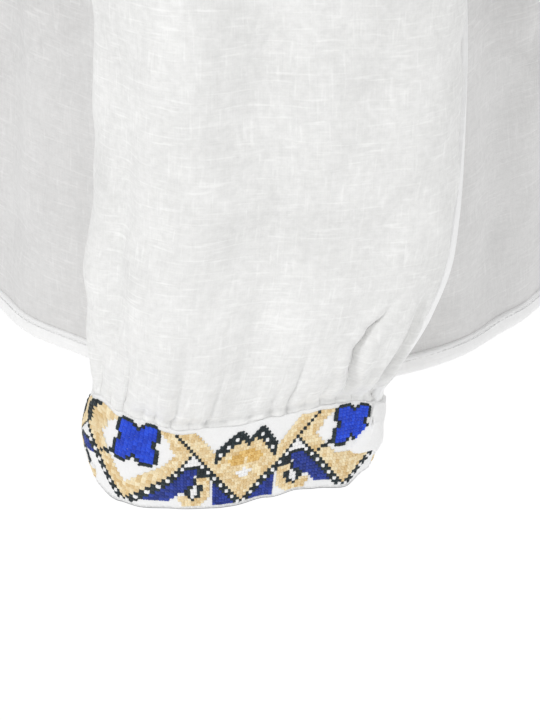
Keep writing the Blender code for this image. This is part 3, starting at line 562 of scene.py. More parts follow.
def ripples(u, v, pieces, size):
    """Soft uneven undulations over cloth, from waves that run mostly up and down it."""
    total = np.zeros(np.broadcast(u, v).shape)
    for _ in range(pieces):
        across = random.uniform(60.0, 230.0)
        along = random.normal(0.0, 22.0)
        bend = random.uniform(0.15, 0.5)
        slow = random.uniform(6.0, 14.0)
        phase = random.uniform(0.0, 2.0 * math.pi, 3)
        wave = np.sin(across * u + along * v + phase[0] + bend * 4.0 * np.sin(slow * v + phase[1]))
        total += wave * (0.5 + 0.5 * np.sin(slow * v * 1.3 + 9.0 * u + phase[2])) * (90.0 / across)
    return total * size / math.sqrt(pieces)


def crumpled(u, v, pieces, size, shortest, longest):
    """Soft hollows and bumps all over cloth, from waves that run every way."""
    total = np.zeros(np.broadcast(u, v).shape)
    for _ in range(pieces):
        turn = random.uniform(0.0, math.pi)
        pitch = 2.0 * math.pi / random.uniform(shortest, longest)
        phase = random.uniform(0.0, 2.0 * math.pi, 2)
        along = u * math.cos(turn) + v * math.sin(turn)
        across = v * math.cos(turn) - u * math.sin(turn)
        total += np.sin(pitch * along + phase[0]) * np.sin(0.6 * pitch * across + phase[1])
    return total * size / math.sqrt(pieces)


def crease_depth(face, x, z):
    """How far a body panel is drawn in by its creases, which raise a soft ridge on each side."""
    total = np.zeros(x.shape)
    for crease in BODY_CREASES[face]:
        run, fall = crease.x_low - crease.x_top, crease.z_low - crease.z_top
        length = math.hypot(run, fall)
        along = ((x - crease.x_top) * run + (z - crease.z_top) * fall) / length ** 2
        away = np.abs((x - crease.x_top) * fall - (z - crease.z_top) * run) / length / crease.half_width
        ends = ease(along / 0.3) * ease((1.0 - along) / 0.3)
        total += crease.depth * ends * (np.exp(-away * away) - 0.45 * np.exp(-(away - 1.7) ** 2))
    return total


# Sleeve and cuff surfaces


def ring_points(centre, outward, half_width, roundness, shares):
    """Points of rounded rings. Share 0 faces the body, 0.25 the front, 0.5 out and 0.75 the back."""
    angle = 2.0 * math.pi * shares
    power = 2.0 / roundness
    out = np.sign(-np.cos(angle)) * np.abs(np.cos(angle)) ** power
    forward = np.sign(np.sin(angle)) * np.abs(np.sin(angle)) ** power
    points = centre + outward * out[..., None]
    points[..., 1] -= half_width * forward
    return points


def ring_facing(outward, half_width, shares):
    """The way the rings face at shares of their way round."""
    angle = 2.0 * math.pi * shares
    reach = np.linalg.norm(outward, axis=-1)
    facing = unit(outward) * (-np.cos(angle) / reach)[..., None]
    facing[..., 1] = -np.sin(angle) / half_width
    return unit(facing)


def sleeve_frame(places):
    """Centres, half vectors towards the outer side, half widths and roundness of sleeve rings."""
    columns = {name: through_rows(SLEEVE_RINGS, places, name) for name in SLEEVE_RINGS[0]._fields}
    zero = np.zeros_like(columns["inner_x"])
    inner = np.stack([columns["inner_x"], zero, columns["inner_z"]], axis=-1)
    outer = np.stack([columns["outer_x"], zero, columns["outer_z"]], axis=-1)
    centre = (inner + outer) / 2.0
    centre[..., 1] = columns["centre_y"]
    return centre, (outer - inner) / 2.0, columns["half_width"], columns["roundness"]


def armhole_place(share):
    """The panel at a share of the way round the armhole, and how far up its outer column."""
    return ("front", 2.0 * share) if share <= 0.5 else ("back", 2.0 * (1.0 - share))


def armhole_point(share):
    """The left armhole's edge on the body: share 0 is the underarm, 0.25 the front, 0.5 the shoulder."""
    face, up = armhole_place(share)
    return hermite(*yoke_column(face, 1.0), up)


def armhole_facing(share):
    """The way the body panel faces at the armhole's edge."""
    face, up = armhole_place(share)
    step = 0.02
    inside = hermite(*yoke_column(face, 1.0 - step), up)
    lower = hermite(*yoke_column(face, 1.0), max(0.0, up - step))
    upper = hermite(*yoke_column(face, 1.0), min(1.0, up + step))
    facing = (upper - lower).cross(inside - armhole_point(share)).normalized()
    return facing if facing.dot(armhole_point(share) - ARMHOLE_MIDDLE) > 0.0 else -facing


def sleeve_start(share):
    """The sleeve's first ring: the armhole's edge, moved out past both walls where they face each other."""
    under = max(0.0, math.cos(2.0 * math.pi * share)) ** 2
    clear = SEAM_GAP + WALL * (max(0.0, armhole_facing(share).x) + mix(SLEEVE_FLARE, 0.9, under))
    return armhole_point(share) + Vector((clear, 0.0, 0.0))


START_SHARES = np.linspace(0.0, 1.0, 241)
START_RING = np.array([tuple(sleeve_start(share)) for share in START_SHARES])


def start_ring(shares):
    """Points of the sleeve's first ring."""
    columns = [np.interp(shares % 1.0, START_SHARES, START_RING[:, axis]) for axis in range(3)]
    return np.stack(columns, axis=-1)


def fold_depth(shares, z, girth):
    """How far the sleeve is drawn in by its folds, which raise a soft ridge on each side."""
    total = np.zeros(z.shape)
    for fold in FOLDS:
        points = [FoldPoint(*point) for point in fold.points]
        for high, low in zip(points, points[1:]):
            inside = (z <= high.z) & (z > low.z)
            local = ease((high.z - z) / (high.z - low.z))
            away = (shares - mix(high.share, low.share, local) + 0.5) % 1.0 - 0.5
            away = away * girth / fold.half_width
            trough = np.exp(-away * away) - fold.ridge * np.exp(-(np.abs(away) - 1.7) ** 2)
            total += np.where(inside, mix(high.depth, low.depth, local) * trough, 0.0)
    return total


def gather_depth(shares, height):
    """How far the gathers draw the cloth in at heights above the cuff seam; the puffs stand out."""
    depths = column_of(GATHERS, "depth")
    reaches = column_of(GATHERS, "reach")
    index, following, local = round_between(GATHERS, shares)
    depth = mix(depths[index], depths[following], local) * GATHER_DEPTH_GAIN
    reach = mix(reaches[index], reaches[following], local) * GATHER_REACH_GAIN
    fade = np.maximum(0.0, 1.0 - height / reach) ** 1.5
    near_seam = mix(GATHER_SEAM_SHARE, 1.0, np.minimum(1.0, height / GATHER_SEAM_RISE))
    wave = 1.0 - GATHER_CREST * np.sin(math.pi * local) ** GATHER_SHARPNESS
    return depth * wave * fade * near_seam


def sleeve_surface(places, shares):
    """Points of the left sleeve's inner face with its folds, and the way they face."""
    places, shares = np.broadcast_arrays(places, shares)
    centre, outward, half_width, roundness = sleeve_frame(places)
    points = ring_points(centre, outward, half_width, roundness, shares)
    first = ring_points(*sleeve_frame(np.zeros(places.shape)), shares)
    held = 1.0 - ease(places / ARMHOLE_EASE_ROWS)
    points += (start_ring(shares) - first) * held[..., None]
    height = points[..., 2] - SLEEVE_RINGS[-1].inner_z
    reach = np.linalg.norm(outward, axis=-1)
    girth = 2.0 * math.pi * np.sqrt((reach ** 2 + half_width ** 2) / 2.0)
    depth = fold_depth(shares, points[..., 2], girth) * ease(places / 2.0) * ease(height / FOLD_SEAM_RISE)
    depth += gather_depth(shares, np.maximum(0.0, height))
    facing = ring_facing(outward, half_width, shares)
    points = points - facing * depth[..., None]
    points[..., 2] += round_trip(CUFF_EDGES, shares, "top") * ease(1.0 - height / 0.05)
    points[..., 2] += np.clip(depth, -0.0012, 0.0) * ease(1.0 - height / 0.007) * PUFF_SAG
    return points, facing


def cuff_surface(shares, rise, offset):
    """Points of the left cuff at shares of its height from the bottom edge, moved out by an offset."""
    shares, rise, offset = np.broadcast_arrays(shares, rise, offset)
    places = 2.0 * (1.0 - rise)
    columns = {name: through_rows(CUFF_RINGS, places, name) for name in CUFF_RINGS[0]._fields}
    zero = np.zeros(places.shape)
    centre = np.stack([(columns["inner_x"] + columns["outer_x"]) / 2.0, columns["centre_y"], zero], axis=-1)
    outward = np.stack([(columns["outer_x"] - columns["inner_x"]) / 2.0, zero, zero], axis=-1)
    points = ring_points(centre, outward, columns["half_width"], CUFF_ROUNDNESS, shares)
    top = round_trip(CUFF_EDGES, shares, "top")
    bottom = round_trip(CUFF_EDGES, shares, "bottom")
    points[..., 2] = columns["z"] + mix(bottom, top, rise)
    facing = ring_facing(outward, columns["half_width"], shares)
    return points + facing * offset[..., None], facing


# Building meshes


def linked(name, data):
    """A new object of the scene."""
    item = bpy.data.objects.new(name, data)
    bpy.context.scene.collection.objects.link(item)
    return item


def add_mesh(name, points, faces, material, cloth=None, tint=None, material_index=None, sign=1.0):
    """A smooth mesh object, mirrored for the right side, with its cloth coordinates for the weave."""
    points = np.array(points, dtype=float).reshape(-1, 3)
    faces = np.asarray(faces, dtype=np.int32)
    if sign < 0.0:
        points = points * np.array([-1.0, 1.0, 1.0])
        faces = faces[:, ::-1]
    mesh = bpy.data.meshes.new(name)
    corners = faces.shape[1]
    mesh.vertices.add(len(points))
    mesh.vertices.foreach_set("co", points.astype(np.float32).ravel())
    mesh.loops.add(faces.size)
    mesh.loops.foreach_set("vertex_index", faces.ravel())
    mesh.polygons.add(len(faces))
    mesh.polygons.foreach_set("loop_start", np.arange(0, faces.size, corners, dtype=np.int32))
    mesh.polygons.foreach_set("loop_total", np.full(len(faces), corners, dtype=np.int32))
    for item in material if isinstance(material, (list, tuple)) else [material]:
        mesh.materials.append(item)
    if material_index is not None:
        mesh.polygons.foreach_set("material_index", np.asarray(material_index, dtype=np.int32))
    mesh.update(calc_edges=True)
    mesh.shade_smooth()
    if cloth is not None:
        layer = mesh.attributes.new("cloth", "FLOAT_VECTOR", "POINT")
        layer.data.foreach_set("vector", np.asarray(cloth, dtype=np.float32).ravel())
    if tint is not None:
        layer = mesh.attributes.new("tint", "FLOAT", "POINT")
        layer.data.foreach_set("value", np.asarray(tint, dtype=np.float32).ravel())
    piece = linked(name, mesh)
    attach(piece, ROOT)
    return piece


def grid_faces(rows, columns, closed_columns=False, closed_rows=False, flipped=False):
    """Quads between the rows and columns of a grid of points."""
    row = np.arange(rows if closed_rows else rows - 1)[:, None]
    column = np.arange(columns if closed_columns else columns - 1)[None, :]
    below = (row + 1) % rows
    after = (column + 1) % columns
    faces = np.stack([row * columns + column, below * columns + column,
                      below * columns + after, row * columns + after], axis=-1).reshape(-1, 4)
    return faces[:, ::-1] if flipped else faces


def on_cloth(u, v):
    """Cloth coordinates from how far along the cloth each point lies, both ways."""
    u, v = np.broadcast_arrays(u, v)
    return np.stack([u, v, np.zeros(u.shape)], axis=-1)


def cloth_lengths(points):
    """Cloth coordinates of a grid: how far along its columns and its rows each point lies."""
    across = np.linalg.norm(np.diff(points, axis=1), axis=-1)
    down = np.linalg.norm(np.diff(points, axis=0), axis=-1)
    u = np.concatenate([[0.0], np.cumsum(across.mean(axis=0))])
    v = np.concatenate([[0.0], np.cumsum(down.mean(axis=1))])
    return on_cloth(u, v[:, None])


def arc_lengths(path):
    """How far along an open path each of its points lies."""
    return np.concatenate([[0.0], np.cumsum(np.linalg.norm(np.diff(path, axis=0), axis=-1))])


def sweep(name, path, facing, profile, material, closed=False, sign=1.0):
    """A narrow band along a path. Each profile row is (across, out), a loop round the band's section."""
    side = unit(np.cross(facing, run_of(path, 0, closed)))
    across, out = np.array(profile).T
    points = path[:, None] + side[:, None] * across[None, :, None] + facing[:, None] * out[None, :, None]
    faces = grid_faces(len(path), len(profile), closed_columns=True, closed_rows=closed)
    cloth = on_cloth(across, arc_lengths(path)[:, None])
    return add_mesh(name, points, faces, material, cloth=cloth, sign=sign)


def flat_profile(half_width, height, low=-0.0002):
    """The section of a pressed seam: a low rounded bar."""
    return [(-half_width, low), (-half_width * 0.96, height * 0.7), (-half_width * 0.7, height),
            (0.0, height * 1.08), (half_width * 0.7, height), (half_width * 0.96, height * 0.7),
            (half_width, low)]


def stitches_along(name, path, facing, sewing, material, sign=1.0):
    """A line of sewn stitches along a path: short rounded bars that dip into the cloth at both ends."""
    pitch, length, radius = sewing
    arc = arc_lengths(path)
    count = int(arc[-1] / pitch)
    starts = (np.arange(count) + 0.1) * pitch
    shape = np.array([0.0, 0.2, 0.5, 0.8, 1.0])
    lift = np.array([-0.4, 0.75, 1.0, 0.75, -0.4]) * radius
    places = starts[:, None] + shape[None, :] * length

    def at(values):
        return np.stack([np.interp(places, arc, values[:, axis]) for axis in range(3)], axis=-1)

    centre = at(path)
    out = unit(at(facing))
    side = unit(np.cross(out, np.gradient(centre, axis=1)))
    centre = centre + out * lift[None, :, None]
    angles = np.radians([-35.0, 45.0, 135.0, 215.0])
    ring = centre[:, :, None] + (side[:, :, None] * np.cos(angles)[:, None]
                                 + out[:, :, None] * np.sin(angles)[:, None] * 0.8) * radius
    stations, around = len(shape), len(angles)
    base = grid_faces(stations, around, closed_columns=True)
    faces = (base[None] + (np.arange(count) * stations * around)[:, None, None]).reshape(-1, 4)
    tint = np.repeat(random.uniform(0.0, 1.0, count), stations * around)
    return add_mesh(name, ring, faces, material, tint=tint, sign=sign)


# Materials


class Graph:
    """A material's nodes, made and joined in short calls."""

    def __init__(self, name):
        self.material = bpy.data.materials.new(name)
        self.material.use_nodes = True
        self.tree = self.material.node_tree
        self.shader = self.tree.nodes["Principled BSDF"]

    def set(self, node, inputs):
        for key, value in inputs.items():
            if isinstance(value, bpy.types.NodeSocket):
                self.tree.links.new(value, node.inputs[key])
            else:
                node.inputs[key].default_value = value

    def node(self, kind, output=0, inputs=None, **settings):
        node = self.tree.nodes.new(kind)
        for key, value in settings.items():
            setattr(node, key, value)
        self.set(node, inputs or {})
        return node.outputs[output]

    def attribute(self, name, output):
        return self.node("ShaderNodeAttribute", output, attribute_name=name)

    def scaled(self, vector, scale):
        return self.node("ShaderNodeVectorMath", operation="MULTIPLY", inputs={0: vector, 1: scale})

    def noise(self, vector, scale=1.0, detail=2.0, roughness=0.5):
        return self.node("ShaderNodeTexNoise", "Fac", {"Vector": vector, "Scale": scale, "Detail": detail,
                                                       "Roughness": roughness})

    def math(self, operation, first, second=0.0, third=0.0):
        return self.node("ShaderNodeMath", operation=operation, inputs={0: first, 1: second, 2: third})

    def ranged(self, value, low, high, to_low=0.0, to_high=1.0):
        return self.node("ShaderNodeMapRange", "Result", {"Value": value, "From Min": low, "From Max": high,
                                                          "To Min": to_low, "To Max": to_high})

    def blended(self, share, first, second):
        return self.node("ShaderNodeMix", 2, {0: share, 6: (*first, 1.0), 7: (*second, 1.0)},
                         data_type="RGBA")

    def bump(self, height, strength, distance):
        return self.node("ShaderNodeBump", "Normal", {"Height": height, "Strength": strength,
                                                      "Distance": distance})


def cloth_material(name, dark, light, thin, dense, roughness=0.9, sheen=0.2, bump=0.5):
    """Plain woven cotton with slubs. thin and dense are how much it hides between and along its slubs."""
    graph = Graph(name)
    cloth = graph.attribute("cloth", "Vector")
    weft = graph.noise(graph.scaled(cloth, (110.0, 1500.0, 1.0)))
    warp = graph.noise(graph.scaled(cloth, (1700.0, 95.0, 1.0)))
    slub = graph.ranged(graph.noise(graph.scaled(cloth, (64.0, 640.0, 1.0)), detail=1.0), 0.58, 0.82)
    knots = graph.ranged(graph.noise(graph.scaled(cloth, (560.0, 72.0, 1.0)), detail=1.0), 0.59, 0.84)
    grain = graph.noise(graph.scaled(cloth, (300.0, 300.0, 1.0)), detail=4.0, roughness=0.65)
    cloud = graph.noise(graph.scaled(cloth, (34.0, 22.0, 1.0)), detail=5.0, roughness=0.62)
    threads = graph.math("ADD", weft, warp)
    raised = graph.math("ADD", graph.math("MULTIPLY", slub, 0.5), graph.math("MULTIPLY", knots, 0.4))
    height = graph.math("ADD", graph.math("MULTIPLY", threads, 0.7), raised)
    height = graph.math("MULTIPLY_ADD", grain, 0.7, height)
    shade = graph.math("MULTIPLY_ADD", cloud, 1.1, graph.math("MULTIPLY", threads, 0.25))
    shade = graph.math("MULTIPLY_ADD", grain, 0.9, graph.math("MULTIPLY_ADD", raised, 0.85, shade))
    cover = graph.ranged(shade, 0.90, 1.65)
    graph.set(graph.shader, {
        "Base Color": graph.blended(cover, dark, light),
        "Roughness": graph.ranged(height, 0.6, 1.8, roughness, roughness - 0.12),
        "Alpha": graph.ranged(cover, 0.0, 1.0, thin, dense),
        "Normal": graph.bump(height, bump, 0.00035),
        "Sheen Weight": sheen,
        "Sheen Roughness": 0.6,
        "Specular IOR Level": 0.25,
    })
    return graph.material


def band_material(name, dark, light):
    """The firm even-weave cotton of the cuffs."""
    graph = Graph(name)
    cloth = graph.attribute("cloth", "Vector")
    pitch = 2.0 * math.pi / (CELL / 3.0)
    parts = graph.node("ShaderNodeSeparateXYZ", "X", {0: cloth})
    across = graph.math("SINE", graph.math("MULTIPLY", parts, pitch))
    parts = graph.node("ShaderNodeSeparateXYZ", "Y", {0: cloth})
    along = graph.math("SINE", graph.math("MULTIPLY", parts, pitch))
    weave = graph.math("ABSOLUTE", graph.math("ADD", across, along))
    fibre = graph.noise(graph.scaled(cloth, (900.0, 900.0, 1.0)), detail=4.0)
    cloud = graph.noise(graph.scaled(cloth, (60.0, 60.0, 1.0)), detail=3.0)
    height = graph.math("ADD", graph.math("MULTIPLY", weave, 0.35), fibre)
    shade = graph.ranged(graph.math("ADD", height, cloud), 0.7, 1.7)
    graph.set(graph.shader, {
        "Base Color": graph.blended(shade, dark, light),
        "Roughness": graph.ranged(fibre, 0.3, 0.7, 0.9, 0.78),
        "Normal": graph.bump(height, 0.45, 0.00025),
        "Sheen Weight": 0.15,
        "Specular IOR Level": 0.25,
    })
    return graph.material


def floss_material(name, dark, light, roughness=0.55):
    """Stranded embroidery cotton: each stitch has its own tint, with fine fibres and a soft shine."""
    graph = Graph(name)
    place = graph.node("ShaderNodeTexCoord", "Object")
    tint = graph.attribute("tint", "Fac")
    fibre = graph.noise(graph.scaled(place, (2600.0, 2600.0, 2600.0)), detail=3.0)
    shade = graph.math("ADD", graph.math("MULTIPLY", tint, 0.6), graph.math("MULTIPLY", fibre, 0.4))
    graph.set(graph.shader, {
        "Base Color": graph.blended(graph.ranged(shade, 0.15, 0.85), dark, light),
        "Roughness": graph.ranged(fibre, 0.3, 0.7, roughness + 0.1, roughness - 0.1),
        "Normal": graph.bump(fibre, 0.4, 0.0002),
        "Sheen Weight": 0.12,
        "Specular IOR Level": 0.35,
    })
    return graph.material


def floor_material():
    """A plain matt white floor with a faint unevenness."""
    graph = Graph("floor_white")
    place = graph.node("ShaderNodeTexCoord", "Object")
    cloud = graph.noise(graph.scaled(place, (1.5, 1.5, 1.5)), detail=3.0)
    graph.set(graph.shader, {
        "Base Color": graph.blended(cloud, (0.82, 0.82, 0.82), (0.86, 0.86, 0.86)),
        "Roughness": 0.9,
        "Specular IOR Level": 0.1,
        "Emission Color": (1.0, 1.0, 1.0, 1.0),
        "Emission Strength": 0.40,
    })
    return graph.material


# The pieces of the blouse


def body_piece(face, material, seam_material, thread):
    """A front or back panel with its turned hem and the hem's stitches."""
    fine = refined(body_grid(face), [BODY_FINE_COLUMNS] * BODY_COLUMNS, 1)
    fine = refined(fine, BODY_FINE_ROWS, 0)
    out = grid_normals(fine, closed=False)
    if np.mean(out[:, :, 1]) * FACES[face] < 0.0:
        out = -out
    cloth = cloth_lengths(fine)
    height = fine[..., 2] - BODY_RINGS[0].z
    column = np.arange(fine.shape[1])
    from_edge = np.minimum(column, column[::-1])[None, :]
    rows_left = np.arange(fine.shape[0])[::-1][:, None]
    held = ease(from_edge / 18.0) * ease(rows_left / 12.0) * mix(0.35, 1.0, ease(height / 0.05))
    x = cloth[..., 0] - cloth[0, -1, 0] / 2.0
    lift = ripples(cloth[..., 0], cloth[..., 1], 14, 0.0010)
    lift += crumpled(cloth[..., 0], cloth[..., 1], 30, 0.0012, 0.022, 0.065)
    lift = (lift - BODY_CREASE_GAIN * crease_depth(face, x, fine[..., 2])) * held
    points = fine + out * (SHELL_OUT + lift)[..., None]
    shell = add_mesh("body_" + face + "_cloth", points,
                     grid_faces(*fine.shape[:2], flipped=face == "back"), material, cloth=cloth)
    shell_hem = hem_piece(face, fine, out, lift, cloth, seam_material)
    line, line_out = refined_line(points, out, HEM_SEWING_HEIGHT)
    stitches = stitches_along("body_" + face + "_hem_stitches", line + line_out * HEM_SEWING_OUT, line_out,
                              HEM_SEWING, thread)
    return shell, shell_hem, stitches


def refined_line(points, out, height):
    """A level line across a panel's lowest rows, at a height above its edge."""
    rise = points[:, :, 2] - points[0:1, :, 2]
    line, facing = [], []
    for column in range(points.shape[1]):
        row = int(np.searchsorted(rise[:, column], height))
        low = rise[row - 1, column]
        local = (height - low) / (rise[row, column] - low)
        line.append(mix(points[row - 1, column], points[row, column], local))
        facing.append(mix(out[row - 1, column], out[row, column], local))
    return np.array(line), unit(np.array(facing))


def hem_piece(face, fine, out, lift, cloth, material):
    """The narrow turned hem along a panel's lower edge."""
    pucker = 0.00012 * np.sin(cloth[0, :, 0] * 2.0 * math.pi / 0.0060)
    loops = []
    for rise, offset in HEM_SECTION:
        base, facing = refined_line(fine, out, max(rise, 1e-6))
        base[:, 2] += min(rise, 0.0)
        wave = pucker * (1.0 if offset > 0.0010 else 0.0)
        loops.append(base + facing * (SHELL_OUT + offset - 0.0006 + lift[0] + wave)[:, None])
    points = np.array(loops)
    return add_mesh("body_" + face + "_hem", points,
                    grid_faces(*points.shape[:2], closed_rows=True, flipped=face == "front"),
                    material, cloth=on_cloth(cloth[0, :, 0], np.array(HEM_SECTION)[:, :1]))


def sleeve_piece(side, sign, material):
    """A full sleeve from its armhole down into the cuff seam."""
    places = np.concatenate([index + np.arange(count) / count for index, count in enumerate(ROWS_PER_RING)]
                            + [[float(len(ROWS_PER_RING))]])
    shares = SLEEVE_SHARES
    base, facing = sleeve_surface(places[:, None], shares[None, :])
    out = grid_normals(base, closed=True)
    out *= np.sign((out * facing).sum(axis=-1, keepdims=True))
    height = base[..., 2] - SLEEVE_RINGS[-1].inner_z
    turn = 2.0 * math.pi * shares[None, :]
    lift = ripples(0.062 * np.cos(turn) + 0.05 * np.sin(turn), base[..., 2], 10, 0.0007)
    lift += ripples(0.05 * np.sin(turn) - 0.04 * np.cos(turn), base[..., 2] * 1.3, 10, 0.0006)
    lift += crumpled(0.055 * np.cos(turn), base[..., 2] + 0.055 * np.sin(turn), 24, 0.0008, 0.020, 0.050)
    lift *= ease(height / 0.04) * ease(places[:, None] / 1.5)
    points = base + out * (SHELL_OUT + lift)[..., None]
    tuck, _ = cuff_surface(shares, 0.992, 0.0014)
    lower, _ = cuff_surface(shares, 0.95, 0.0009)
    points = np.concatenate([points, tuck[None], lower[None]])
    cloth = cloth_lengths(points)
    return add_mesh("sleeve_" + side + "_cloth", points,
                    grid_faces(*points.shape[:2], closed_columns=True), material, cloth=cloth, sign=sign)


def cuff_shape(shares, rise, sign):
    """How far the cuff's face stands out or dips, from the gathers, its soft bends and its loose fold."""
    pull = gather_depth(shares, np.full(np.shape(shares), 0.002)) * 0.22
    bends = (0.0006 * np.sin(2.0 * math.pi * (shares * 7.0 + 0.35)) * np.sin(math.pi * rise)
             + 0.0004 * np.sin(2.0 * math.pi * (shares * 13.0 + rise * 0.5)))
    shape = bends - pull * ease((rise - 0.6) / 0.4)
    if sign > 0.0:
        shape = shape + 0.0013 * np.exp(-((shares - 0.67) / 0.045) ** 2 - ((rise - 0.3) / 0.3) ** 2)
    return shape


def cuff_face(shares, rise, sign, extra=0.0):
    """Points of the cuff's outer face, and the way they face."""
    return cuff_surface(shares, rise, CUFF_OUT + cuff_shape(shares, rise, sign) + extra)


def cuff_piece(side, sign, materials):
    """The band of a cuff, folded round the lower edge and up inside, with its sewn upper edge; its faces
    round the lower edge are painted grey, a painted shade.
    """
    shares = np.arange(CUFF_COLUMNS) / CUFF_COLUMNS
    loops = []
    for rise, offset in CUFF_SECTION:
        shape = cuff_shape(shares, np.full(shares.shape, rise), sign)
        loops.append(cuff_surface(shares, rise, offset + shape)[0])
    points = np.array(loops)
    cloth = on_cloth(np.interp(shares, ARC_SHARES, ARC_LENGTHS), np.array(CUFF_SECTION)[:, :1] * CUFF_DEPTH)
    # The loops round the lower edge take the grey cloth, a painted shade of the fold's underside.
    edge = np.repeat([int(loop in PAINTED_SHADE_LOOPS) for loop in range(len(CUFF_SECTION))], CUFF_COLUMNS)
    return add_mesh("cuff_" + side + "_band", points,
                    grid_faces(*points.shape[:2], closed_columns=True, closed_rows=True), materials,
                    cloth=cloth, material_index=edge, sign=sign)


ARC_SHARES = np.linspace(0.0, 1.0, 1441)
ARC_LENGTHS = arc_lengths(cuff_surface(ARC_SHARES, 0.5, CUFF_OUT)[0])
ARC_LENGTHS -= np.interp(0.5, ARC_SHARES, ARC_LENGTHS)


def stitch_colour(column, row, outer=False, filled=False):
    """The thread of a cell of the band, by its column from a flower's middle and its row from the bottom."""
    side = (column + HALF_REPEAT) % REPEAT - HALF_REPEAT
    a = abs(side)
    b = HALF_REPEAT - a
    up = len(FLOWER) - 1 - (row - FLOWER_BOTTOM_ROW)
    if 0 <= up < len(FLOWER) and a <= FLOWER_AXIS_COLUMN:
        mark = FLOWER[up][side + FLOWER_AXIS_COLUMN]
        if mark != ".":
            return {"K": "dark", "B": "royal"}[mark]
    if (side, row) in STEM:
        return "dark"
    if row < 2 or row > 24:
        return None
    flower_arm = 2 + a
    diamond_arm = 2 + b
    if row < min(flower_arm, diamond_arm):
        return triangle_colour(a, b, row, outer)
    if (row == flower_arm and a <= 16) or row == diamond_arm:
        return "dark"
    if outer and a <= 16 and row - diamond_arm in (1, 2):
        return "dark"
    if row > diamond_arm:
        return diamond_colour(b, row, diamond_arm)
    # the flower's own frame of beige, widest at the crossing
    line = row - 2 if row < 18 else 34 - row
    width = 9 if filled and row < 12 else 4 if row >= 21 else 5
    return "beige" if line - width <= a < line else None


def diamond_colour(b, row, arm):
    """Inside the diamond and in the strip that goes on above the crossing, b cells from its middle."""
    roof = 27 - b if b >= 4 else 20 + b
    thick = 4 if b >= 3 else 2
    if b <= 9 and row > roof:
        return None
    if b <= 9 and roof - thick < row <= roof:
        return "white" if thick == 4 and row == roof - 2 and b % 2 == 0 else "dark"
    if row > arm + 5 and b > 9:
        return None
    if (row == 17 and b <= 2) or (row == 16 and b <= 4) or (row in (14, 15) and 1 <= b <= 4 + row % 2):
        return "gold"
    if (row == 10 and b <= 1) or (row == 11 and b <= 2) or (row == 12 and b == 0):
        return "white"
    return "beige"


def triangle_colour(a, b, row, outer):
    """Under the crossing of the two arms, a cells from the flower's middle and b from the diamond's."""
    flower_arm = 2 + a
    diamond_arm = 2 + b
    if row >= 15:
        return "white"
    if row == flower_arm - 1:
        return "white" if a % 2 else "dark"
    if row == diamond_arm - 1:
        return "white" if b % 2 else "dark"
    if row in (flower_arm - 2, diamond_arm - 2) or (row == 14 and 14 <= a <= 18):
        return "dark"
    if DROP_LOW <= row < DROP_LOW + len(DROP) and DROP_FIRST >= b > DROP_FIRST - len(DROP[0]):
        mark = DROP[DROP_LOW + len(DROP) - 1 - row][DROP_FIRST - b]
        if not (outer and mark == "U"):
            return {"U": "blue", "K": "dark", "W": "white", "E": "beige", ".": None}[mark]
    if b >= 15:
        return "blue" if row >= (11 if outer else max(4, 27 - b)) else None
    return "dark" if row >= 10 else "blue" if b <= 9 else None


def lean(column, row):
    """How far the chart runs off along the band at a column from the diamond, where the band is pulled."""
    left = 0.0087 * ease((-17.2 - 0.37 * row - column) / 14.0) * (1.0 - 0.024 * (row - 2.5))
    corner = 0.0070 * ease((-37.0 - column) / 8.0) * ease((row - 19.0) / 5.0)
    left = (left + corner) * (1.0 - ease((-column - 52.0) / 45.0))
    left -= CELL * 0.22 * (19.5 - row) * np.exp(-((column + 32.0) / 8.0) ** 2) * ease((row - 10.0) / 5.0)
    middle = CELL * 0.1 * (row - 12.5) * np.exp(-(column / 10.0) ** 2)
    right = CELL * 0.082 * (row - 2.5) * ease((column - 24.0) / 8.0) * (1.0 - ease((column - 50.0) / 40.0))
    return middle + right - left


def loose_depth(column, row):
    """How many cells a place of the band lies inside the edge of the loose fold."""
    low = np.interp(column, LOOSE_COLUMNS, LOOSE_LOWS)
    high = np.interp(column, LOOSE_COLUMNS, LOOSE_HIGHS)
    before = column < LOOSE_UPRIGHT
    above = row > LOOSE_CORNER_ROW
    slanted = np.where(before, (high - row) * LOOSE_SLANT, 9.0)
    beside = np.where(before & above, -9.0, np.where(above, column - LOOSE_UPRIGHT, 9.0))
    ends = np.minimum(column - LOOSE_COLUMNS[0], LOOSE_COLUMNS[-1] - column)
    return np.minimum(np.minimum(row - low, slanted), np.minimum(beside, ends))


def under_loose_fold(column, row):
    """Whether the loose fold lies over a cell of the left band."""
    if column in LOOSE_BESIDE_COLUMNS and row >= LOOSE_BESIDE_ROW:
        return True
    return loose_depth(float(column), row + 0.5) > LOOSE_COVER


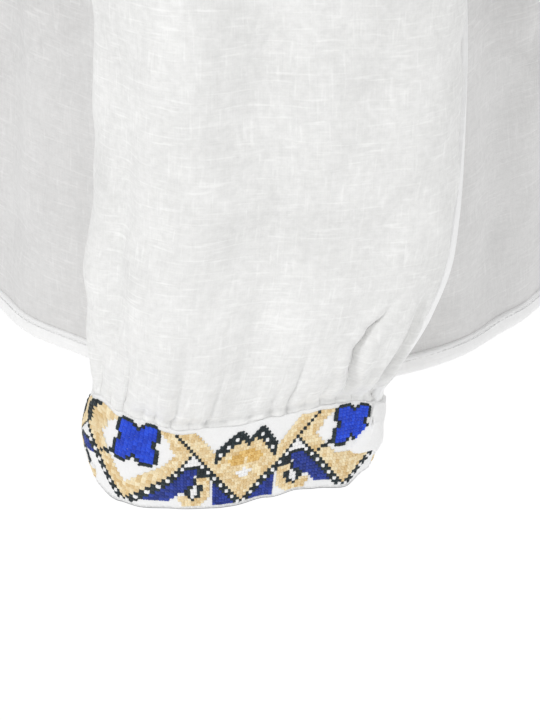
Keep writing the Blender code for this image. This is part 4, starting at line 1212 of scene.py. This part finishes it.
def loose_fold(material):
    """The band's own cloth where it bunches and lies over the second flower of the left cuff."""
    columns = np.linspace(LOOSE_COLUMNS[0], LOOSE_COLUMNS[-1], 90)
    low = np.interp(columns, LOOSE_COLUMNS, LOOSE_LOWS)
    high = np.interp(columns, LOOSE_COLUMNS, LOOSE_HIGHS)
    steps = ease(np.linspace(0.0, 1.0, 48))[:, None]
    row = mix(low[None], high[None], steps)
    column = np.broadcast_to(columns[None], row.shape)
    inside = np.minimum(np.minimum(row - low, (high - row) * LOOSE_SLANT),
                        np.minimum(column - columns[0], columns[-1] - column))
    inside = np.where(row > 20.0, np.minimum(inside, np.maximum(0.0, column - 37.7)), inside)
    edge = np.sqrt(np.clip(inside / 0.8, 0.0, 1.0))
    swell = ease(inside / 4.5) * (0.75 + 0.25 * np.sin(column * 0.8 + row * 0.35))
    height = mix(-0.0004, LOOSE_HEIGHT, edge) + LOOSE_SWELL * swell * ease((LOOSE_TOP_ROW - row) / 9.0)
    shares = np.interp(DIAMOND_ARC + column * CELL + lean(column, row), ARC_LENGTHS, ARC_SHARES)
    points = cuff_face(shares, row / BAND_ROWS, 1.0, height)[0]
    return add_mesh("cuff_left_loose_fold", points, grid_faces(*points.shape[:2], flipped=True), material,
                    cloth=on_cloth(column * CELL, row * CELL))


def cuff_stitches(side, sign, materials):
    """The band's cross-stitches: two arched strands a cell, the second one lying over the first."""
    first = math.ceil((ARC_LENGTHS[0] - DIAMOND_ARC) / CELL) + 1
    last = math.floor((ARC_LENGTHS[-1] - DIAMOND_ARC) / CELL) - 1
    cells = []
    for column in range(first, last + 1):
        for row in range(BAND_ROWS):
            outer = abs(column) > HALF_REPEAT
            colour = stitch_colour(column + HALF_REPEAT, row, outer, sign > 0.0 and column > 24)
            if colour and not (sign > 0.0 and under_loose_fold(column, row)):
                cells.append((column, row, THREADS.index(colour)))
    cells = np.array(cells)
    stations = np.array([0.0, 0.22, 0.5, 0.78, 1.0])
    lift = np.array([0.10, 0.75, 1.0, 0.75, 0.10])
    jitter = random.normal(0.0, 0.035, (len(cells), 2, 2, 1))
    proud = np.where(cells[:, 2] == THREADS.index("white"), 1.25, 1.0)[:, None]
    middle = lean(cells[:, :1] + 0.5, cells[:, 1:2] + 0.5) - lean(cells[:, :1] - 0.5, cells[:, 1:2] + 0.5)
    stretch = np.clip(1.0 + middle / CELL, 0.8, 1.6)
    strands = []
    for strand, slope in enumerate((1.0, -1.0)):
        across = stations - 0.5
        upward = slope * across
        x = cells[:, :1] + across[None, :] * 1.02 + jitter[:, strand, 0]
        y = cells[:, 1:2] + 0.5 + upward[None, :] * 1.02 + jitter[:, strand, 1]
        shares = np.interp(DIAMOND_ARC + x * CELL + lean(x, y), ARC_LENGTHS, ARC_SHARES)
        rise = y / BAND_ROWS
        high = 0.00008 + STRAND_RISE * (lift * (1.0 if strand == 0 else 1.45))[None, :] * proud
        centre, facing = cuff_face(shares, rise, sign, high)
        side_way = unit(np.cross(facing, np.gradient(centre, axis=1)))
        width = STRAND_HALF_WIDTH * np.array([0.7, 1.0, 1.08, 1.0, 0.7])[None, :] * stretch ** 0.85 * proud
        width = width[..., None]
        drop = facing * (high * 0.75)[..., None]
        ring = np.stack([centre - side_way * width - drop, centre - side_way * width * 0.6,
                         centre + side_way * width * 0.6, centre + side_way * width - drop], axis=2)
        strands.append(ring)
    points = np.stack(strands, axis=1)
    per_strand = len(stations) * 4
    base = grid_faces(len(stations), 4)
    starts = np.arange(len(cells) * 2) * per_strand
    faces = (base[None] + starts[:, None, None]).reshape(-1, 4)
    index = np.repeat(cells[:, 2], 2 * len(base))
    tint = np.repeat(random.uniform(0.0, 1.0, len(cells)), 2 * per_strand)
    return add_mesh("cuff_" + side + "_stitches", points, faces, materials, tint=tint,
                    material_index=index, sign=sign)


def neck_piece(material):
    """The narrow binding round the neckline."""
    edge, rises, outs = [], [], []
    for column in range(BINDING_COLUMNS):
        turn = 2.0 * math.pi * column / BINDING_COLUMNS
        face = "back" if turn <= math.pi else "front"
        angle = turn if turn <= math.pi else 2.0 * math.pi - turn
        edge.append(tuple(neck_point(face, angle)))
        rises.append(tuple(neck_rise(face, angle)))
        outs.append(tuple(neck_normal(face, angle)))
    edge = np.array(edge)
    rises = unit(np.array(rises))
    outs = unit(np.array(outs))
    points = np.array([edge + rises * rise + outs * out for rise, out in BINDING_SECTION])
    along = np.cumsum(np.linalg.norm(np.roll(edge, -1, axis=0) - edge, axis=-1))
    piece = add_mesh("neck_binding_cloth", points,
                     grid_faces(*points.shape[:2], closed_columns=True, closed_rows=True), material,
                     cloth=on_cloth(along, np.array(BINDING_SECTION)[:, :1]))
    return piece, edge + rises * 0.0016 + outs * 0.0024, outs


def lights_and_camera():
    """Soft studio light from above and the front, and the camera of the close view of the left cuff."""
    world = bpy.data.worlds.new("studio")
    bpy.context.scene.world = world
    world.use_nodes = True
    tree = world.node_tree
    background = tree.nodes["Background"]
    path = tree.nodes.new("ShaderNodeLightPath")
    strength = tree.nodes.new("ShaderNodeMapRange")
    strength.inputs["To Min"].default_value = 0.60
    strength.inputs["To Max"].default_value = 1.0
    tree.links.new(path.outputs["Is Camera Ray"], strength.inputs["Value"])
    tree.links.new(strength.outputs["Result"], background.inputs["Strength"])
    background.inputs["Color"].default_value = (1.0, 1.0, 1.0, 1.0)
    for light in LIGHTS:
        lamp = bpy.data.lights.new(light.name, "AREA")
        lamp.shape = "DISK"
        lamp.size = light.size
        lamp.energy = light.power
        item = linked(light.name, lamp)
        item.location = light.place
        item.rotation_mode = "QUATERNION"
        item.rotation_quaternion = (Vector(light.aim) - Vector(light.place)).to_track_quat("-Z", "Y")

    back = Vector((math.cos(CAMERA_ELEVATION), 0.0, math.sin(CAMERA_ELEVATION)))
    right = Vector((0.0, 1.0, 0.0))
    up = back.cross(right)
    beside = (CUFF_PIXEL[0] - IMAGE_WIDTH / 2.0) / PIXELS_PER_METRE
    below = (CUFF_PIXEL[1] - IMAGE_HEIGHT / 2.0) / PIXELS_PER_METRE
    eye = CUFF_TOP_MIDDLE + back * CAMERA_DISTANCE - right * beside + up * below
    data = bpy.data.cameras.new("close_view")
    camera = linked("close_view", data)
    placed = Matrix((right, up, back)).transposed().to_4x4()
    placed.translation = eye
    camera.matrix_world = placed
    data.sensor_fit = "VERTICAL"
    data.sensor_height = SENSOR_HEIGHT
    data.lens = PIXELS_PER_METRE * CAMERA_DISTANCE / IMAGE_HEIGHT * SENSOR_HEIGHT
    bpy.context.scene.camera = camera
    bpy.context.scene.view_settings.view_transform = "Standard"


def add_floor():
    """The pale floor, a worn blouse's height above it."""
    corners = [(-1.0, -1.0), (1.0, -1.0), (1.0, 1.0), (-1.0, 1.0)]
    floor = bpy.data.meshes.new("floor")
    floor.from_pydata([(x * FLOOR_HALF, y * FLOOR_HALF, FLOOR_Z) for x, y in corners], [], [(0, 1, 2, 3)])
    floor.materials.append(floor_material())
    linked("floor", floor)


def finish_sheet(piece, node, slot, extras, **cut):
    """Hides the imported solid that a shell stands in for."""
    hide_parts(node)


def add_bodies(cloth, hem_cloth, thread):
    """The front and the back."""
    for face in FACES:
        shell, hem, stitches = body_piece(face, cloth, hem_cloth, thread)
        finish_sheet(shell, "body_" + face, "voile", [hem, stitches], flat=BODY_FLAT, held="hung",
                     rests_on=["neck_binding"], area=BODY_AREA[face])


def sleeve_seam_path():
    """The line of the sleeve's long seam, with its turns smoothed."""
    places = np.linspace(0.0, SLEEVE_SEAM[-1].place, 220)
    shares = np.interp(places, column_of(SLEEVE_SEAM, "place"), column_of(SLEEVE_SEAM, "share"))
    window = 11
    shares = np.convolve(np.pad(shares, window // 2, mode="edge"), np.ones(window) / window, mode="valid")
    return sleeve_surface(places, shares)


def add_sleeves(cloth, seam_cloth, band, painted_edge_shade, floss, thread):
    """Both sleeves with their seams, and their cuffs."""
    seam_path, seam_out = sleeve_seam_path()
    round_shares = np.linspace(0.0, 1.0, 160, endpoint=False)
    armhole_path, armhole_out = sleeve_surface(np.full(len(round_shares), 0.02), round_shares)
    for side, sign in SIDES.items():
        sleeve = sleeve_piece(side, sign, cloth)
        seam = sweep("sleeve_" + side + "_seam", seam_path + seam_out * 0.0012, seam_out,
                     flat_profile(0.0034, 0.0010, low=-0.0026), seam_cloth, sign=sign)
        around = sweep("armhole_" + side + "_seam", armhole_path + armhole_out * 0.0010, armhole_out,
                       flat_profile(0.0022, 0.0009), seam_cloth, closed=True, sign=sign)
        finish_sheet(sleeve, "sleeve_" + side, "voile", [seam, around], flat=SLEEVE_FLAT, held="gathered",
                     rests_on=["body_front", "cuff_" + side], area=SLEEVE_AREA)
        cuff = cuff_piece(side, sign, [band, painted_edge_shade])
        extras = [cuff_stitches(side, sign, floss)]
        shares = np.linspace(0.0, 1.0, 400)
        lower, lower_out = cuff_face(shares, np.full(len(shares), 0.035), sign, 0.0001)
        extras.append(stitches_along("cuff_" + side + "_edge_stitches", lower, lower_out, EDGE_SEWING,
                                     thread, sign=sign))
        if side == "left":
            extras.append(loose_fold(band))
        finish_sheet(cuff, "cuff_" + side, "embroidered_band", extras, flat=CUFF_FLAT, held="folded",
                     rests_on=["sleeve_" + side])


def body_seam(name, line, facing, material, sign):
    """A pressed seam on the middle plane between front and back, on the cloth's outer face."""
    line = np.array([tuple(point) for point in line])
    line[:, 1] = 0.0
    facing = np.tile(np.array(facing), (len(line), 1))
    line += np.round(facing) * SHELL_OUT
    return sweep(name, line, unit(facing), flat_profile(0.0025, 0.0007), material, sign=sign)


def add_neck(cloth, thread):
    """The neck binding, and the side and shoulder seams."""
    binding, line, out = neck_piece(cloth)
    stitches = stitches_along("neck_binding_stitches", line, out, NECK_SEWING, thread)
    finish_sheet(binding, "neck_binding", "voile", [stitches], flat=BINDING_FLAT, held="folded",
                 rests_on=["body_front", "body_back"])
    heights = np.linspace(0.0, len(BODY_RINGS) - 1.0, 120)
    for side, sign in SIDES.items():
        down = [body_ring_point("front", place, 1.0) for place in heights]
        over = [shoulder_point("front", 1.0, share) for share in np.linspace(0.0, 1.0, 60)]
        for name, path, facing in [("side_", down, (1.0, 0.0, 0.0)), ("shoulder_", over, (0.25, 0.0, 0.97))]:
            body_seam(name + side + "_seam", path, facing, cloth, sign)


def build():
    """The whole blouse."""
    # The body's voile is a darker copy of the sleeve's same cloth: a painted shade for the body lying in the
    # sleeve's shade, grey through its sheer cloth.
    voile_body_painted_shade = cloth_material("voile_body_painted_shade", (0.62, 0.615, 0.61), (0.77, 0.765, 0.76), 0.90, 0.98)
    voile_sleeve = cloth_material("voile_sleeve", (0.79, 0.79, 0.78), (0.94, 0.94, 0.93), 0.90, 0.98)
    voile_double = cloth_material("voile_double", (0.88, 0.88, 0.88), (0.96, 0.96, 0.96), 1.0, 1.0, bump=0.35)
    band = band_material("cuff_ground", (0.92, 0.92, 0.92), (0.99, 0.99, 0.99))
    # A grey copy of the band's cloth for the lower edge, a painted shade where the fold turns under.
    painted_edge_shade = band_material("cuff_edge_painted_shade", (0.34, 0.34, 0.35), (0.46, 0.46, 0.47))
    floss = [floss_material("floss_" + name, *FLOSS_COLOURS[name]) for name in THREADS]
    thread = floss_material("sewing_thread", (0.78, 0.78, 0.78), (0.90, 0.90, 0.90))
    add_bodies(voile_body_painted_shade, voile_double, thread)
    add_sleeves(voile_sleeve, voile_double, band, painted_edge_shade, floss, thread)
    add_neck(voile_double, thread)


build()
add_floor()
lights_and_camera()
